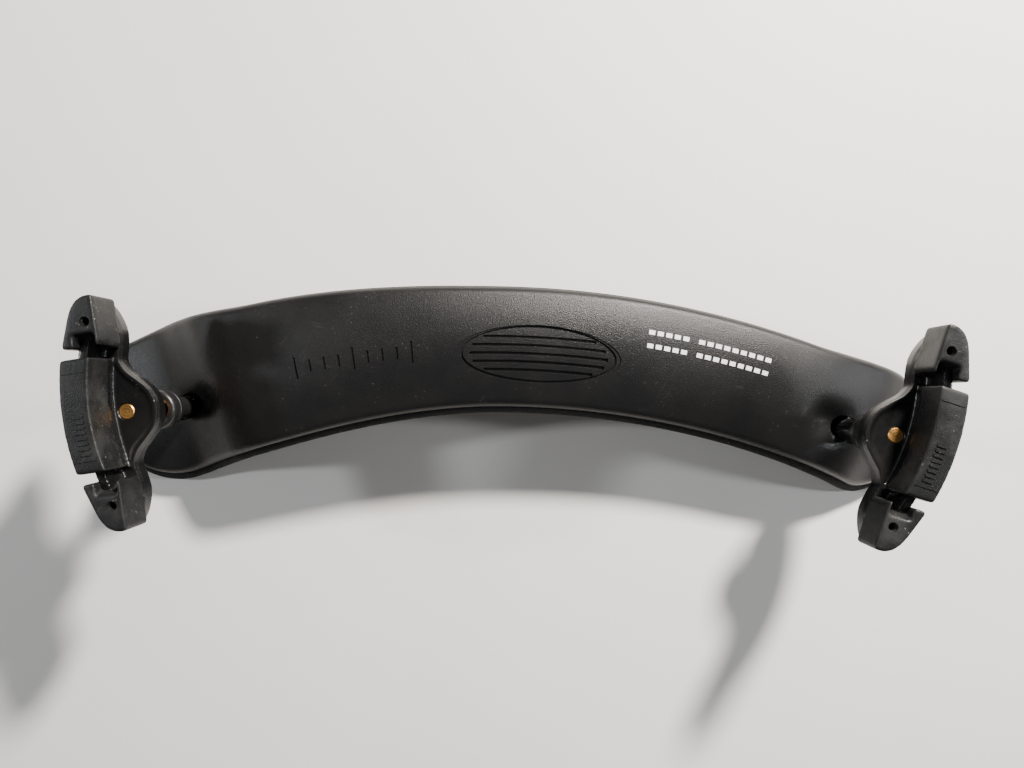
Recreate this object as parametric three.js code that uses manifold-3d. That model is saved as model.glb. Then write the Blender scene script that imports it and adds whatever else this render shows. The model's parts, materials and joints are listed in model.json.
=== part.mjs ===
// A violin shoulder rest: an arched body with a foam underside and two screw-adjusted feet.
// Millimetres, +Z up, +X to the right-hand foot. The rest stands on the foam at its two tips.
import * as THREE from "three";
import { mergeVertices } from "three/addons/utils/BufferGeometryUtils.js";
import Module from "manifold-3d";

// ---- driving dimensions ----
const GAP = 0.3; // between pieces that touch or slide on each other
const CUT_PAST = 1; // how far a cutting tool runs past the face it opens
const ROUND_SIDES = 28; // facets of a full circle
const SHEET_ALONG = 64; // facets of the body's sheets, the same for both so that they stay parallel
const SHEET_ACROSS = 14;
const SHEET_EASE = 0.8; // crowding of the facets towards the two tips, 0 to 1

// body, laid out along a plan arc whose crown is station 0
const PLAN_RADIUS = 275;
const LEFT_REACH = 122; // crown to left tip, along the arc
const RIGHT_REACH = 134;
const HALF_WIDTH = 17;
const TAPER = 3.3; // extra half width towards the left end
const TAPER_FULL = 41; // from the left tip, where the taper is complete
const TAPER_START = 126;
const LEFT_LOBE = 4; // further half width of the left end, convex side only
const LEFT_LOBE_FULL = 23;
const LEFT_LOBE_START = 58;
const RIGHT_LOBE = 3.6; // the same at the right end
const RIGHT_LOBE_FULL = 8;
const RIGHT_LOBE_START = 42;
const CORNER_ACROSS = 16; // plan corners: length across the body and along it
const CORNER_ALONG = 14;
const LONG_CORNER_ACROSS = 19.5; // the left end's corner on the concave side
const LONG_CORNER_ALONG = 22;
const CROWN = 2.5; // the middle stands this much above the long edges
const SHELL_THICKNESS = 3.5;
const SHELL_RIM = 2; // rounding of the shell's upper edge
const FOAM_GAP = 1; // glue line between the shell and the foam
const FOAM_THICKNESS = 6;
const FOAM_RIM = 1.6; // rounding of the foam's edges
const FOAM_RIM_BELOW = 0.6; // the same underneath, as a share
const FOAM_FLARE_CONVEX = 0.7; // foam edge beyond the shell edge
const FOAM_FLARE_CONCAVE = 1.9;

// top height of the body's centre line, as [distance from the tip, height]
const LEFT_PROFILE = [
  [0, 8.8], [10, 10.4], [25, 14.4], [34, 21.4], [42, 28], [52, 31.8], [77, 33.6], [102, 33.6],
];
const RIGHT_PROFILE = [
  [0, 8.6], [7, 10.6], [18, 17.7], [30, 22.3], [38, 24.1], [48, 25.2], [74, 27.5], [104, 30.3], [134, 32.6],
];

// hollow that lets the leg lean inwards over the crest
const VALLEY_DEPTH = 3.6;
const VALLEY_BELOW = 0.5; // share of the depth that the shell's underside follows
const VALLEY_SPREAD = 4.6; // half width where the depth has dropped to a third
const VALLEY_EDGE = -1; // inboard of the hinge, where it begins
const VALLEY_FULL = 5;
const VALLEY_START = 9; // where it begins to fade
const VALLEY_END = 17;

// hinge of each leg
const SLOPE_SPAN = 6; // length over which the body's slope at the hinge is taken
const PIN_DEPTH = 4.4; // pin axis under the body's top
const PIN_RADIUS = 1.5;
const PIN_END_WALL = 1.3; // between the pin's channel and each cover screw's hole
const KNUCKLE_WALL = 1.4; // round the pin's bore
const KNUCKLE_SHOULDER = 0.5; // knuckle's corners beyond the stem
const BOSS_LENGTH = 13; // along the body
const BOSS_WIDTH = 25; // across the body
const BOSS_HEIGHT = 7; // above the pin, trimmed to stay inside the shell
const BOSS_INSET = 0.6; // boss stays this far inside the shell's skin
const BOSS_FLOOR = -30; // below everything
const COVER_THICKNESS = 1.4;
const COVER_SCREW_EDGE = 2.5; // from the cover's end
const COVER_SCREW_RADIUS = 1.1;
const COVER_SCREW_LENGTH = 4.2;
const COVER_HEAD_RADIUS = 2;
const COVER_HEAD_HEIGHT = 0.9;
const COVER_HEAD_DOME = 0.5;
const COVER_HOLE_WALL = 1; // foam window clearance round the cover

// leg
const STEM_WALL = 1; // round the screw's bore
const STEM_HEIGHT = 13; // pin axis to the start of the collar
const COLLAR_WALL = 2; // round the insert's pocket
const COLLAR_START = 17;
const LEG_HEIGHT = 23; // pin axis to the collar's top
const COLLAR_RIM = 0.8;
const SCREW_RADIUS = 2;
const SCREW_LENGTH = 25.5;
const SCREW_WELL = 3; // pin axis to the bottom of the screw's bore
const INSERT_WALL = 0.9; // round the screw's bore
const INSERT_LENGTH = 5;
const INSERT_SINK = 3; // insert's top below the collar's top

// fork, in its own frame: x outwards from the screw, y across, z = 0 on the plate's top
const PLATE_THICKNESS = 2.2;
const SKIRT_HEIGHT = 4.6;
const SKIRT_WALL = 1.3;
const PLATE_BEVEL = 0.7;
const PLATE_EDGE = 1.4; // plate's side beyond the outline that BELL, WING and ARM_MARGIN give
const HUB_WALL = 2.3; // round the screw's bore
const HUB_HEIGHT = 7;
const ARM_RADIUS = 61; // plan radius of the upright wall
const ARM_HALF_SPAN = 25; // screw axis to the wall's ends
const ARM_THICKNESS = 2.2;
const ARM_HEIGHT = 8.5;
const ARM_MARGIN = 3.9; // plate beyond the wall's middle line
// inner edge of the plate: [x, y] round the screw, then [distance short of the wall's end, plate width]
const BELL = [[-6.8, 0], [-5.9, 3.8], [-3.3, 6.8], [-0.6, 9.6]];
const WING = [[11.8, 7.94], [8, 7.73], [4, 6.91], [-0.2, 4.11], [-2.9, 1.3]];
const OUTLINE_STEPS = 36;
const ARM_STEPS = 18;

// rubber pads on the wall
const PAD_HALF_WIDTH = 3.5;
const PAD_TO_SCREW = 0.8; // pad's inner face to the screw's end
const PAD_TO_CAP = 2.4;
const PAD_HEIGHT = 12.4;
const CAP_GRIP = 8.6; // length of the wall's end that the cap covers
const CAP_END = 4; // rubber beyond the wall's end
const CAP_WALL = 1.33; // rubber inboard of the wall's end
const CAP_CORNER = 3.2; // rounding of the far outer corner
const CAP_HEIGHT = 11.8;
const CAP_SCOOP = 3.4; // how far the sloped face towards the middle pad goes back at the top
const CAP_SCOOP_FLOOR = 2.5; // where that slope starts
const CAP_SCOOP_INNER = 0.8; // rubber left inboard of the scoop
const CAP_SCOOP_OUTER = 2.2; // rubber left outboard of it
const CAP_BEAD = 0.8; // small corners
const CAP_SHOULDER = 7.5; // length of the shoulder towards the middle pad
const CAP_HOLE_RADIUS = 0.9;
const CAP_HOLE_DEPTH = 2.4;
const CAP_HOLE_INTO = 6.1; // from the cap's start
const CAP_HOLE_OUT = 1; // outboard of the screw axis

// where each leg stands and how it is set: degrees and mm, lean is inwards from upright,
// lift is the gap between the leg's top and the fork's hub
const SIDES = {
  left: {
    station: -LEFT_REACH + 27, across: -1.6, outward: -1, lean: 0, maxLean: 18, lift: 8.8, forkTurn: -11.3,
  },
  right: {
    station: RIGHT_REACH - 23.4, across: -2.8, outward: 1, lean: 2.5, maxLean: 22, lift: 3.3, forkTurn: 4.6,
  },
};

// ---- sizes that follow ----
const SCREW_BORE = SCREW_RADIUS + GAP;
const PIN_BORE = PIN_RADIUS + GAP;
const COVER_SCREW_BORE = COVER_SCREW_RADIUS + GAP;
const COVER_SCREW_SPACING = BOSS_WIDTH - 2 * COVER_SCREW_EDGE;
const PIN_LENGTH = COVER_SCREW_SPACING - 2 * (COVER_SCREW_BORE + PIN_END_WALL + GAP);
const KNUCKLE_RADIUS = PIN_BORE + KNUCKLE_WALL;
const STEM_RADIUS = SCREW_BORE + STEM_WALL;
const INSERT_RADIUS = SCREW_BORE + INSERT_WALL;
const INSERT_BORE = INSERT_RADIUS + GAP;
const COLLAR_RADIUS = INSERT_BORE + COLLAR_WALL;
const HUB_RADIUS = SCREW_BORE + HUB_WALL;
const ARM_REACH = SCREW_RADIUS + PAD_TO_SCREW + PAD_HALF_WIDTH; // screw axis to the wall's middle
const CAP_START = ARM_HALF_SPAN - CAP_GRIP; // across, from the screw axis
const CAP_FAR = ARM_HALF_SPAN + CAP_END;
const CAP_INNER = armX(ARM_HALF_SPAN, -ARM_THICKNESS / 2) - CAP_WALL;
const PAD_HALF_LENGTH = CAP_START - PAD_TO_CAP;
const BOSS_BOTTOM = -(KNUCKLE_RADIUS + GAP);
const COVER_TOP = BOSS_BOTTOM - GAP;
const COVER_BOTTOM = COVER_TOP - COVER_THICKNESS;
const SLOT_HALF = Math.max(STEM_RADIUS, KNUCKLE_RADIUS) + GAP;

// ---- solids ----
const wasm = await Module();
wasm.setup();

function solid(geometry, matrix = new THREE.Matrix4()) {
  const bare = geometry.clone().applyMatrix4(matrix);
  bare.deleteAttribute("normal");
  bare.deleteAttribute("uv");
  const merged = mergeVertices(bare, 1e-4);
  const made = new wasm.Mesh({
    numProp: 3,
    vertProperties: merged.attributes.position.array,
    triVerts: new Uint32Array(merged.index.array),
  });
  return new wasm.Manifold(made);
}

function geometryOf(manifold) {
  const mesh = manifold.getMesh();
  const geometry = new THREE.BufferGeometry();
  geometry.setAttribute("position", new THREE.BufferAttribute(mesh.vertProperties, 3));
  geometry.setIndex(new THREE.BufferAttribute(mesh.triVerts, 1));
  geometry.computeVertexNormals();
  return geometry;
}

function box(x0, x1, y0, y1, z0, z1) {
  const geometry = new THREE.BoxGeometry(x1 - x0, y1 - y0, z1 - z0);
  return geometry.translate((x0 + x1) / 2, (y0 + y1) / 2, (z0 + z1) / 2);
}

// upright round bar
function bar(radius, z0, z1, x = 0, y = 0) {
  const geometry = new THREE.CylinderGeometry(radius, radius, z1 - z0, ROUND_SIDES);
  return geometry.rotateX(Math.PI / 2).translate(x, y, (z0 + z1) / 2);
}

// round bar across the leg, along y
function crossBar(radius, halfLength) {
  return new THREE.CylinderGeometry(radius, radius, 2 * halfLength, ROUND_SIDES);
}

// solid of revolution about z from [radius, height] points listed upwards on the outside
function turned(points) {
  const profile = points.map(([r, z]) => new THREE.Vector2(r, z));
  return new THREE.LatheGeometry(profile, ROUND_SIDES).rotateX(Math.PI / 2);
}

function extruded(points, z0, z1) {
  const shape = new THREE.Shape(points);
  return new THREE.ExtrudeGeometry(shape, { depth: z1 - z0, bevelEnabled: false }).translate(0, 0, z0);
}

// ---- body surface ----
function smoothstep(from, to, value) {
  const k = Math.min(1, Math.max(0, (value - from) / (to - from)));
  return k * k * (3 - 2 * k);
}

// points past the crown are left out, so that a shorter reach keeps them in order
const profile = [
  ...LEFT_PROFILE.filter(([distance]) => distance < LEFT_REACH)
    .map(([distance, height]) => [distance - LEFT_REACH, height]),
  ...RIGHT_PROFILE.filter(([distance]) => distance <= RIGHT_REACH)
    .map(([distance, height]) => [RIGHT_REACH - distance, height]).reverse(),
];

// height of the centre line's top at a station, a smooth curve through the profile points
function archHeight(station) {
  const last = profile.length - 2;
  let i = profile.findIndex(([s], n) => n <= last && station <= profile[n + 1][0]);
  if (i < 0) i = last;
  const slope = (n) => {
    const a = profile[Math.max(0, n - 1)];
    const b = profile[Math.min(last + 1, n + 1)];
    return (b[1] - a[1]) / (b[0] - a[0]);
  };
  const [s0, z0] = profile[i];
  const [s1, z1] = profile[i + 1];
  const k = (station - s0) / (s1 - s0);
  const span = s1 - s0;
  const rise = k * k * (3 - 2 * k);
  return (
    z0 * (1 - rise) + z1 * rise + span * (slope(i) * k * (1 - k) ** 2 - slope(i + 1) * k * k * (1 - k))
  );
}

// half width at a station on the convex (side > 0) or concave side
function halfWidth(station, side) {
  const fromLeft = station + LEFT_REACH;
  const fromRight = RIGHT_REACH - station;
  let width = HALF_WIDTH + TAPER * (1 - smoothstep(TAPER_FULL, TAPER_START, fromLeft));
  if (side > 0) {
    width += LEFT_LOBE * (1 - smoothstep(LEFT_LOBE_FULL, LEFT_LOBE_START, fromLeft));
    width += RIGHT_LOBE * (1 - smoothstep(RIGHT_LOBE_FULL, RIGHT_LOBE_START, fromRight));
  }
  return width;
}

function planPoint(station, across) {
  const angle = station / PLAN_RADIUS;
  const radius = PLAN_RADIUS + across;
  return new THREE.Vector2(radius * Math.sin(angle), radius * Math.cos(angle) - PLAN_RADIUS);
}

// depth of the two hollows that run inboard from the hinges
function valley(station, across) {
  let depth = 0;
  for (const side of Object.values(SIDES)) {
    const inboard = (side.station - station) * side.outward;
    const entered = smoothstep(VALLEY_EDGE, VALLEY_FULL, inboard);
    const left = 1 - smoothstep(VALLEY_START, VALLEY_END, inboard);
    depth += VALLEY_DEPTH * entered * left * Math.exp(-(((across - side.across) / VALLEY_SPREAD) ** 2));
  }
  return depth;
}

function rounding(radius, distance) {
  if (distance >= radius) return 0;
  return radius - Math.sqrt(Math.max(0, radius * radius - (radius - distance) ** 2));
}

// how far the rounded end stands back from the tip, at side = -1 to 1 across the body
function endPull(tip, side, cornerAcross, cornerAlong, inset) {
  const width = halfWidth(tip, side) - inset;
  const intoCorner = Math.max(0, (Math.abs(side) - 1) * width + cornerAcross) / cornerAcross;
  return inset + cornerAlong * rounding(1, 1 - Math.min(intoCorner, 1));
}

// A closed sheet that follows the body, its plan edge moved inwards by insetAt(side). top and
// bottom give heights from (station, across, edge), where edge is the distance to the plan edge.
function bodySheet(insetAt, top, bottom) {
  const sheet = new THREE.BoxGeometry(1, 1, 1, SHEET_ALONG, SHEET_ACROSS, 1);
  const position = sheet.attributes.position;
  for (let i = 0; i < position.count; i++) {
    const run = position.getX(i) + 0.5;
    const lane = position.getY(i);
    const side = (Math.sin(Math.PI * lane) + 2 * lane) / 2;
    const inset = insetAt(side);
    const eased = run - SHEET_EASE * Math.sin(2 * Math.PI * run) / (2 * Math.PI);
    const leftCorner = side < 0 ? [LONG_CORNER_ACROSS, LONG_CORNER_ALONG] : [CORNER_ACROSS, CORNER_ALONG];
    const left = -LEFT_REACH + endPull(-LEFT_REACH, side, ...leftCorner, inset);
    const right = RIGHT_REACH - endPull(RIGHT_REACH, side, CORNER_ACROSS, CORNER_ALONG, inset);
    const station = left + (right - left) * eased;
    const width = halfWidth(station, side) - inset;
    const edge = Math.min(width * (1 - Math.abs(side)), station - left, right - station);
    const plan = planPoint(station, side * width);
    const height = position.getZ(i) > 0 ? top : bottom;
    position.setXYZ(i, plan.x, plan.y, height(station, side * width, edge));
  }
  return sheet;
}

function skinHeight(station, across) {
  const share = across / halfWidth(station, across);
  return archHeight(station) - CROWN * share * share - valley(station, across);
}

const shellTop = (s, a, edge) => skinHeight(s, a) - rounding(SHELL_RIM, edge);
const shellBottom = (s, a) => skinHeight(s, a) + (1 - VALLEY_BELOW) * valley(s, a) - SHELL_THICKNESS;
const foamTop = (s, a) => shellBottom(s, a) - FOAM_GAP;
const foamInset = (side) => -(FOAM_FLARE_CONCAVE + (FOAM_FLARE_CONVEX - FOAM_FLARE_CONCAVE) * (side + 1) / 2);
const foamFlareTop = (s, a, edge) => foamTop(s, a) - rounding(FOAM_RIM, edge);
function foamBottom(s, a, edge) {
  const free = foamTop(s, a) - FOAM_THICKNESS;
  return Math.max(0, free) + rounding(FOAM_RIM, edge) * FOAM_RIM_BELOW;
}

// ---- hinge frames ----
function frames(side) {
  const angle = side.station / PLAN_RADIUS;
  const plan = planPoint(side.station, side.across);
  const top = archHeight(side.station);
  const pin = new THREE.Vector3(plan.x, plan.y, top - PIN_DEPTH);
  const azimuth = side.outward > 0 ? -angle : Math.PI - angle;
  const rise = archHeight(side.station + SLOPE_SPAN / 2) - archHeight(side.station - SLOPE_SPAN / 2);
  const fall = Math.atan(-side.outward * rise / SLOPE_SPAN);
  const leg = new THREE.Matrix4().makeTranslation(pin).multiply(new THREE.Matrix4().makeRotationZ(azimuth));
  const block = leg.clone().multiply(new THREE.Matrix4().makeRotationY(fall));
  return { pin, azimuth, fall, leg, block };
}

// room for the leg at every lean: a wedge between its upright and its innermost position
function legRoom(maxLean) {
  const lean = THREE.MathUtils.degToRad(maxLean);
  const reach = LEG_HEIGHT;
  const corner = new THREE.Vector2(-SLOT_HALF * Math.cos(lean), -SLOT_HALF * Math.sin(lean));
  const far = new THREE.Vector2(-Math.sin(lean), Math.cos(lean)).multiplyScalar(reach).add(corner);
  const outline = [
    new THREE.Vector2(-SLOT_HALF, BOSS_BOTTOM),
    new THREE.Vector2(SLOT_HALF, BOSS_BOTTOM),
    new THREE.Vector2(SLOT_HALF, reach),
    far,
    corner,
  ];
  const wedge = extruded(outline, -SLOT_HALF, SLOT_HALF);
  return wedge.rotateX(Math.PI / 2);
}

function bodyShell() {
  const sheet = bodySheet(() => 0, shellTop, shellBottom);
  const underSkin = (s, a) => skinHeight(s, a) - BOSS_INSET;
  const envelope = solid(bodySheet(() => BOSS_INSET, underSkin, () => BOSS_FLOOR));
  let shell = solid(sheet);
  for (const side of Object.values(SIDES)) {
    const { block } = frames(side);
    const halfLength = BOSS_LENGTH / 2;
    const halfAcross = BOSS_WIDTH / 2;
    const boss = box(-halfLength, halfLength, -halfAcross, halfAcross, BOSS_BOTTOM, BOSS_HEIGHT);
    shell = shell.add(solid(boss, block).intersect(envelope));
  }
  for (const side of Object.values(SIDES)) {
    const { leg, block } = frames(side);
    shell = shell.subtract(solid(legRoom(side.maxLean), leg));
    const pocket = box(-SLOT_HALF, SLOT_HALF, -SLOT_HALF, SLOT_HALF, BOSS_BOTTOM - CUT_PAST, 0);
    shell = shell.subtract(solid(pocket, block));
    const channelHalf = PIN_LENGTH / 2 + GAP;
    shell = shell.subtract(solid(crossBar(PIN_BORE, channelHalf), block));
    const channel = box(-PIN_BORE, PIN_BORE, -channelHalf, channelHalf, BOSS_BOTTOM - CUT_PAST, 0);
    shell = shell.subtract(solid(channel, block));
    for (const end of [-1, 1]) {
      const y = end * COVER_SCREW_SPACING / 2;
      const depth = COVER_SCREW_LENGTH - COVER_THICKNESS;
      const hole = bar(COVER_SCREW_BORE, BOSS_BOTTOM - CUT_PAST, BOSS_BOTTOM + depth, 0, y);
      shell = shell.subtract(solid(hole, block));
    }
  }
  return geometryOf(shell);
}

function foamPad() {
  let foam = solid(bodySheet(foamInset, foamFlareTop, foamBottom));
  for (const side of Object.values(SIDES)) {
    const halfLength = BOSS_LENGTH / 2 + COVER_HOLE_WALL;
    const halfAcross = BOSS_WIDTH / 2 + COVER_HOLE_WALL;
    const window = box(-halfLength, halfLength, -halfAcross, halfAcross, BOSS_FLOOR, BOSS_HEIGHT);
    foam = foam.subtract(solid(window, frames(side).block));
  }
  return geometryOf(foam);
}

function hingeCover() {
  const halfLength = BOSS_LENGTH / 2;
  const halfAcross = BOSS_WIDTH / 2;
  let cover = solid(box(-halfLength, halfLength, -halfAcross, halfAcross, COVER_BOTTOM, COVER_TOP));
  for (const end of [-1, 1]) {
    const y = end * COVER_SCREW_SPACING / 2;
    const hole = bar(COVER_SCREW_BORE, COVER_BOTTOM - CUT_PAST, COVER_TOP + CUT_PAST, 0, y);
    cover = cover.subtract(solid(hole));
  }
  return geometryOf(cover);
}

function coverScrew() {
  const seat = COVER_BOTTOM - GAP;
  return turned([
    [0, seat - COVER_HEAD_HEIGHT],
    [COVER_HEAD_RADIUS - COVER_HEAD_DOME, seat - COVER_HEAD_HEIGHT],
    [COVER_HEAD_RADIUS, seat - COVER_HEAD_HEIGHT + COVER_HEAD_DOME],
    [COVER_HEAD_RADIUS, seat],
    [COVER_SCREW_RADIUS, seat],
    [COVER_SCREW_RADIUS, seat + COVER_SCREW_LENGTH - GAP],
    [0, seat + COVER_SCREW_LENGTH],
  ]);
}

// ---- leg ----
function legBarrel() {
  const outside = turned([
    [0, 0],
    [STEM_RADIUS, 0],
    [STEM_RADIUS, STEM_HEIGHT],
    [COLLAR_RADIUS, COLLAR_START],
    [COLLAR_RADIUS, LEG_HEIGHT - COLLAR_RIM],
    [COLLAR_RADIUS - COLLAR_RIM, LEG_HEIGHT],
    [0, LEG_HEIGHT],
  ]);
  const knuckle = solid(crossBar(KNUCKLE_RADIUS, STEM_RADIUS)).add(
    solid(box(-KNUCKLE_RADIUS, KNUCKLE_RADIUS, -STEM_RADIUS, STEM_RADIUS, 0, STEM_RADIUS)),
  );
  // the knuckle is narrowed to the stem's circle above the pin so that it clears the slot
  const stemLimit = solid(bar(STEM_RADIUS + KNUCKLE_SHOULDER, -KNUCKLE_RADIUS - CUT_PAST, LEG_HEIGHT));
  const insertFloor = LEG_HEIGHT - INSERT_SINK - INSERT_LENGTH - GAP;
  const barrel = solid(outside)
    .add(knuckle.intersect(stemLimit))
    .subtract(solid(crossBar(PIN_BORE, STEM_RADIUS + CUT_PAST)))
    .subtract(solid(bar(SCREW_BORE, SCREW_WELL, LEG_HEIGHT + CUT_PAST)))
    .subtract(solid(bar(INSERT_BORE, insertFloor, LEG_HEIGHT + CUT_PAST)));
  return geometryOf(barrel);
}

function threadInsert() {
  const top = LEG_HEIGHT - INSERT_SINK;
  const ring = solid(bar(INSERT_RADIUS, top - INSERT_LENGTH, top));
  const bore = bar(SCREW_BORE, top - INSERT_LENGTH - CUT_PAST, top + CUT_PAST);
  return geometryOf(ring.subtract(solid(bore)));
}

// ---- fork ----
function armX(y, offset = 0) {
  const radius = ARM_RADIUS + offset;
  return ARM_REACH - ARM_RADIUS + Math.sqrt(radius * radius - y * y);
}

// plan of the plate: a bell round the screw, drawn in at the necks, with a wing to each side
function plateOutline() {
  const bell = BELL.map(([x, y]) => new THREE.Vector2(x, y));
  const wing = WING.map(([short, width]) => {
    const y = ARM_HALF_SPAN - short;
    return new THREE.Vector2(armX(y, ARM_MARGIN) - width, y);
  });
  const half = [...bell, ...wing];
  const mirrored = half.slice(1).map((p) => new THREE.Vector2(p.x, -p.y)).reverse();
  const curve = new THREE.SplineCurve([...mirrored, ...half]);
  const points = curve.getPoints(OUTLINE_STEPS);
  const tip = half[half.length - 1].y;
  for (let i = 0; i <= ARM_STEPS; i++) {
    const y = tip - (2 * tip * i) / ARM_STEPS;
    points.push(new THREE.Vector2(armX(y, ARM_MARGIN), y));
  }
  return points.reverse();
}

// the same outline moved outwards
function offsetOutline(points, out) {
  const count = points.length;
  return points.map((point, i) => {
    const before = points[(i + count - 1) % count];
    const after = points[(i + 1) % count];
    const along = after.clone().sub(before).normalize();
    return new THREE.Vector2(point.x + along.y * out, point.y - along.x * out);
  });
}

// a band that follows the upright wall's arc
function armBand(halfThickness, y0, y1, z0, z1) {
  const points = [];
  for (let i = 0; i <= ARM_STEPS; i++) {
    const y = y0 + ((y1 - y0) * i) / ARM_STEPS;
    points.push(new THREE.Vector2(armX(y, halfThickness), y));
  }
  for (let i = ARM_STEPS; i >= 0; i--) {
    const y = y0 + ((y1 - y0) * i) / ARM_STEPS;
    points.push(new THREE.Vector2(armX(y, -halfThickness), y));
  }
  return extruded(points, z0, z1);
}

function fork() {
  const outline = plateOutline();
  const bevelStart = offsetOutline(outline, PLATE_EDGE - PLATE_BEVEL);
  const bevelled = new THREE.ExtrudeGeometry(new THREE.Shape(bevelStart), {
    depth: SKIRT_HEIGHT - 2 * PLATE_BEVEL,
    bevelThickness: PLATE_BEVEL,
    bevelSize: PLATE_BEVEL,
    bevelSegments: 2,
  }).translate(0, 0, -SKIRT_HEIGHT + PLATE_BEVEL);
  const inside = offsetOutline(outline, PLATE_EDGE - SKIRT_WALL);
  const hollow = extruded(inside, -SKIRT_HEIGHT - CUT_PAST, -PLATE_THICKNESS);
  const wall = armBand(ARM_THICKNESS / 2, -ARM_HALF_SPAN, ARM_HALF_SPAN, -PLATE_THICKNESS, ARM_HEIGHT);
  const body = solid(bevelled)
    .subtract(solid(hollow))
    .add(solid(bar(HUB_RADIUS, -HUB_HEIGHT, -PLATE_THICKNESS / 2)))
    .add(solid(wall))
    .subtract(solid(bar(SCREW_BORE, -HUB_HEIGHT - CUT_PAST, CUT_PAST)));
  return geometryOf(body);
}

function middlePad() {
  const pad = armBand(PAD_HALF_WIDTH, -PAD_HALF_LENGTH, PAD_HALF_LENGTH, GAP, PAD_HEIGHT);
  const past = PAD_HALF_LENGTH + CUT_PAST;
  const groove = armBand(ARM_THICKNESS / 2 + GAP, -past, past, -CUT_PAST, ARM_HEIGHT + GAP);
  return geometryOf(solid(pad).subtract(solid(groove)));
}

// end: +1 or -1, the end of the wall the cap sits on
function cornerCap(end) {
  const near = CAP_START;
  const far = CAP_FAR;
  const outer = (y) => armX(y, PAD_HALF_WIDTH);
  const shape = new THREE.Shape();
  shape.moveTo(CAP_INNER, near + CAP_BEAD);
  shape.lineTo(CAP_INNER + CAP_BEAD, near);
  shape.lineTo(outer(near) - CAP_BEAD, near);
  shape.quadraticCurveTo(outer(near), near, outer(near + CAP_BEAD), near + CAP_BEAD);
  shape.lineTo(outer(near + CAP_SHOULDER), near + CAP_SHOULDER);
  shape.quadraticCurveTo(outer(far - CAP_BEAD), far, outer(far) - CAP_CORNER, far);
  shape.lineTo(CAP_INNER + CAP_BEAD, far);
  shape.quadraticCurveTo(CAP_INNER, far, CAP_INNER, far - CAP_BEAD);
  shape.closePath();
  const block = new THREE.ExtrudeGeometry(shape, {
    depth: CAP_HEIGHT - GAP, bevelEnabled: false, curveSegments: 6,
  }).translate(0, 0, GAP);
  const groove = armBand(
    ARM_THICKNESS / 2 + GAP, near - CUT_PAST, ARM_HALF_SPAN + GAP, -CUT_PAST, ARM_HEIGHT + GAP,
  );
  // the face towards the middle pad slopes back between two cheeks
  const wedge = new THREE.Shape();
  wedge.moveTo(near - CUT_PAST, CAP_SCOOP_FLOOR);
  wedge.lineTo(near, CAP_SCOOP_FLOOR);
  wedge.lineTo(near + CAP_SCOOP, CAP_HEIGHT);
  wedge.lineTo(near + CAP_SCOOP, CAP_HEIGHT + CUT_PAST);
  wedge.lineTo(near - CUT_PAST, CAP_HEIGHT + CUT_PAST);
  wedge.closePath();
  const scoopStart = CAP_INNER + CAP_SCOOP_INNER;
  const scoopEnd = outer(near + CAP_SCOOP) - CAP_SCOOP_OUTER;
  const scoop = new THREE.ExtrudeGeometry(wedge, { depth: scoopEnd - scoopStart, bevelEnabled: false });
  scoop.applyMatrix4(new THREE.Matrix4().makeBasis(
    new THREE.Vector3(0, 1, 0), new THREE.Vector3(0, 0, 1), new THREE.Vector3(1, 0, 0),
  )).translate(scoopStart, 0, 0);
  const hole = bar(
    CAP_HOLE_RADIUS, CAP_HEIGHT - CAP_HOLE_DEPTH, CAP_HEIGHT + CUT_PAST, CAP_HOLE_OUT, near + CAP_HOLE_INTO,
  );
  const cap = solid(block).subtract(solid(groove)).subtract(solid(scoop)).subtract(solid(hole));
  return geometryOf(end > 0 ? cap : cap.mirror([0, 1, 0]));
}

// ---- materials ----
const finish = (color, roughness, metalness) =>
  new THREE.MeshStandardMaterial({ color, roughness, metalness });
const bodyPlastic = finish(0x17181a, 0.45, 0);
const forkPlastic = finish(0x101012, 0.25, 0);
const legPlastic = finish(0x121214, 0.3, 0);
const foamFinish = finish(0x1d1c1c, 0.95, 0);
const rubber = finish(0x2b2c2d, 0.7, 0);
const brass = finish(0xb07f3c, 0.4, 1);
const steel = finish(0x8d8f92, 0.35, 1);

// ---- assembly ----
function piece(name, geometry, material) {
  const mesh = new THREE.Mesh(geometry, material);
  mesh.name = name;
  return mesh;
}

const rest = new THREE.Group();
rest.add(piece("body_shell", bodyShell(), bodyPlastic));
rest.add(piece("foam_pad", foamPad(), foamFinish));

for (const [name, side] of Object.entries(SIDES)) {
  const { pin, azimuth, fall } = frames(side);
  const hinge = new THREE.Group();
  hinge.position.copy(pin);
  hinge.rotation.z = azimuth;

  const block = new THREE.Group();
  block.rotation.y = fall;
  block.add(piece(`${name}_hinge_pin`, crossBar(PIN_RADIUS, PIN_LENGTH / 2), steel));
  block.add(piece(`${name}_hinge_cover`, hingeCover(), bodyPlastic));
  for (const [end, label] of [[-1, "a"], [1, "b"]]) {
    const screw = piece(`${name}_cover_screw_${label}`, coverScrew(), steel);
    screw.position.y = end * COVER_SCREW_SPACING / 2;
    block.add(screw);
  }

  const leg = new THREE.Group();
  leg.rotation.y = -THREE.MathUtils.degToRad(side.lean);
  leg.add(piece(`${name}_leg_barrel`, legBarrel(), legPlastic));
  leg.add(piece(`${name}_thread_insert`, threadInsert(), brass));

  const foot = new THREE.Group();
  foot.position.z = LEG_HEIGHT + side.lift + HUB_HEIGHT;
  foot.rotation.z = THREE.MathUtils.degToRad(side.forkTurn);
  foot.add(piece(`${name}_height_screw`, bar(SCREW_RADIUS, -SCREW_LENGTH, 0), brass));
  foot.add(piece(`${name}_fork`, fork(), forkPlastic));
  foot.add(piece(`${name}_middle_pad`, middlePad(), rubber));
  foot.add(piece(`${name}_corner_cap_a`, cornerCap(-1), rubber));
  foot.add(piece(`${name}_corner_cap_b`, cornerCap(1), rubber));
  leg.add(foot);
  hinge.add(block, leg);
  rest.add(hinge);
}

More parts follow.
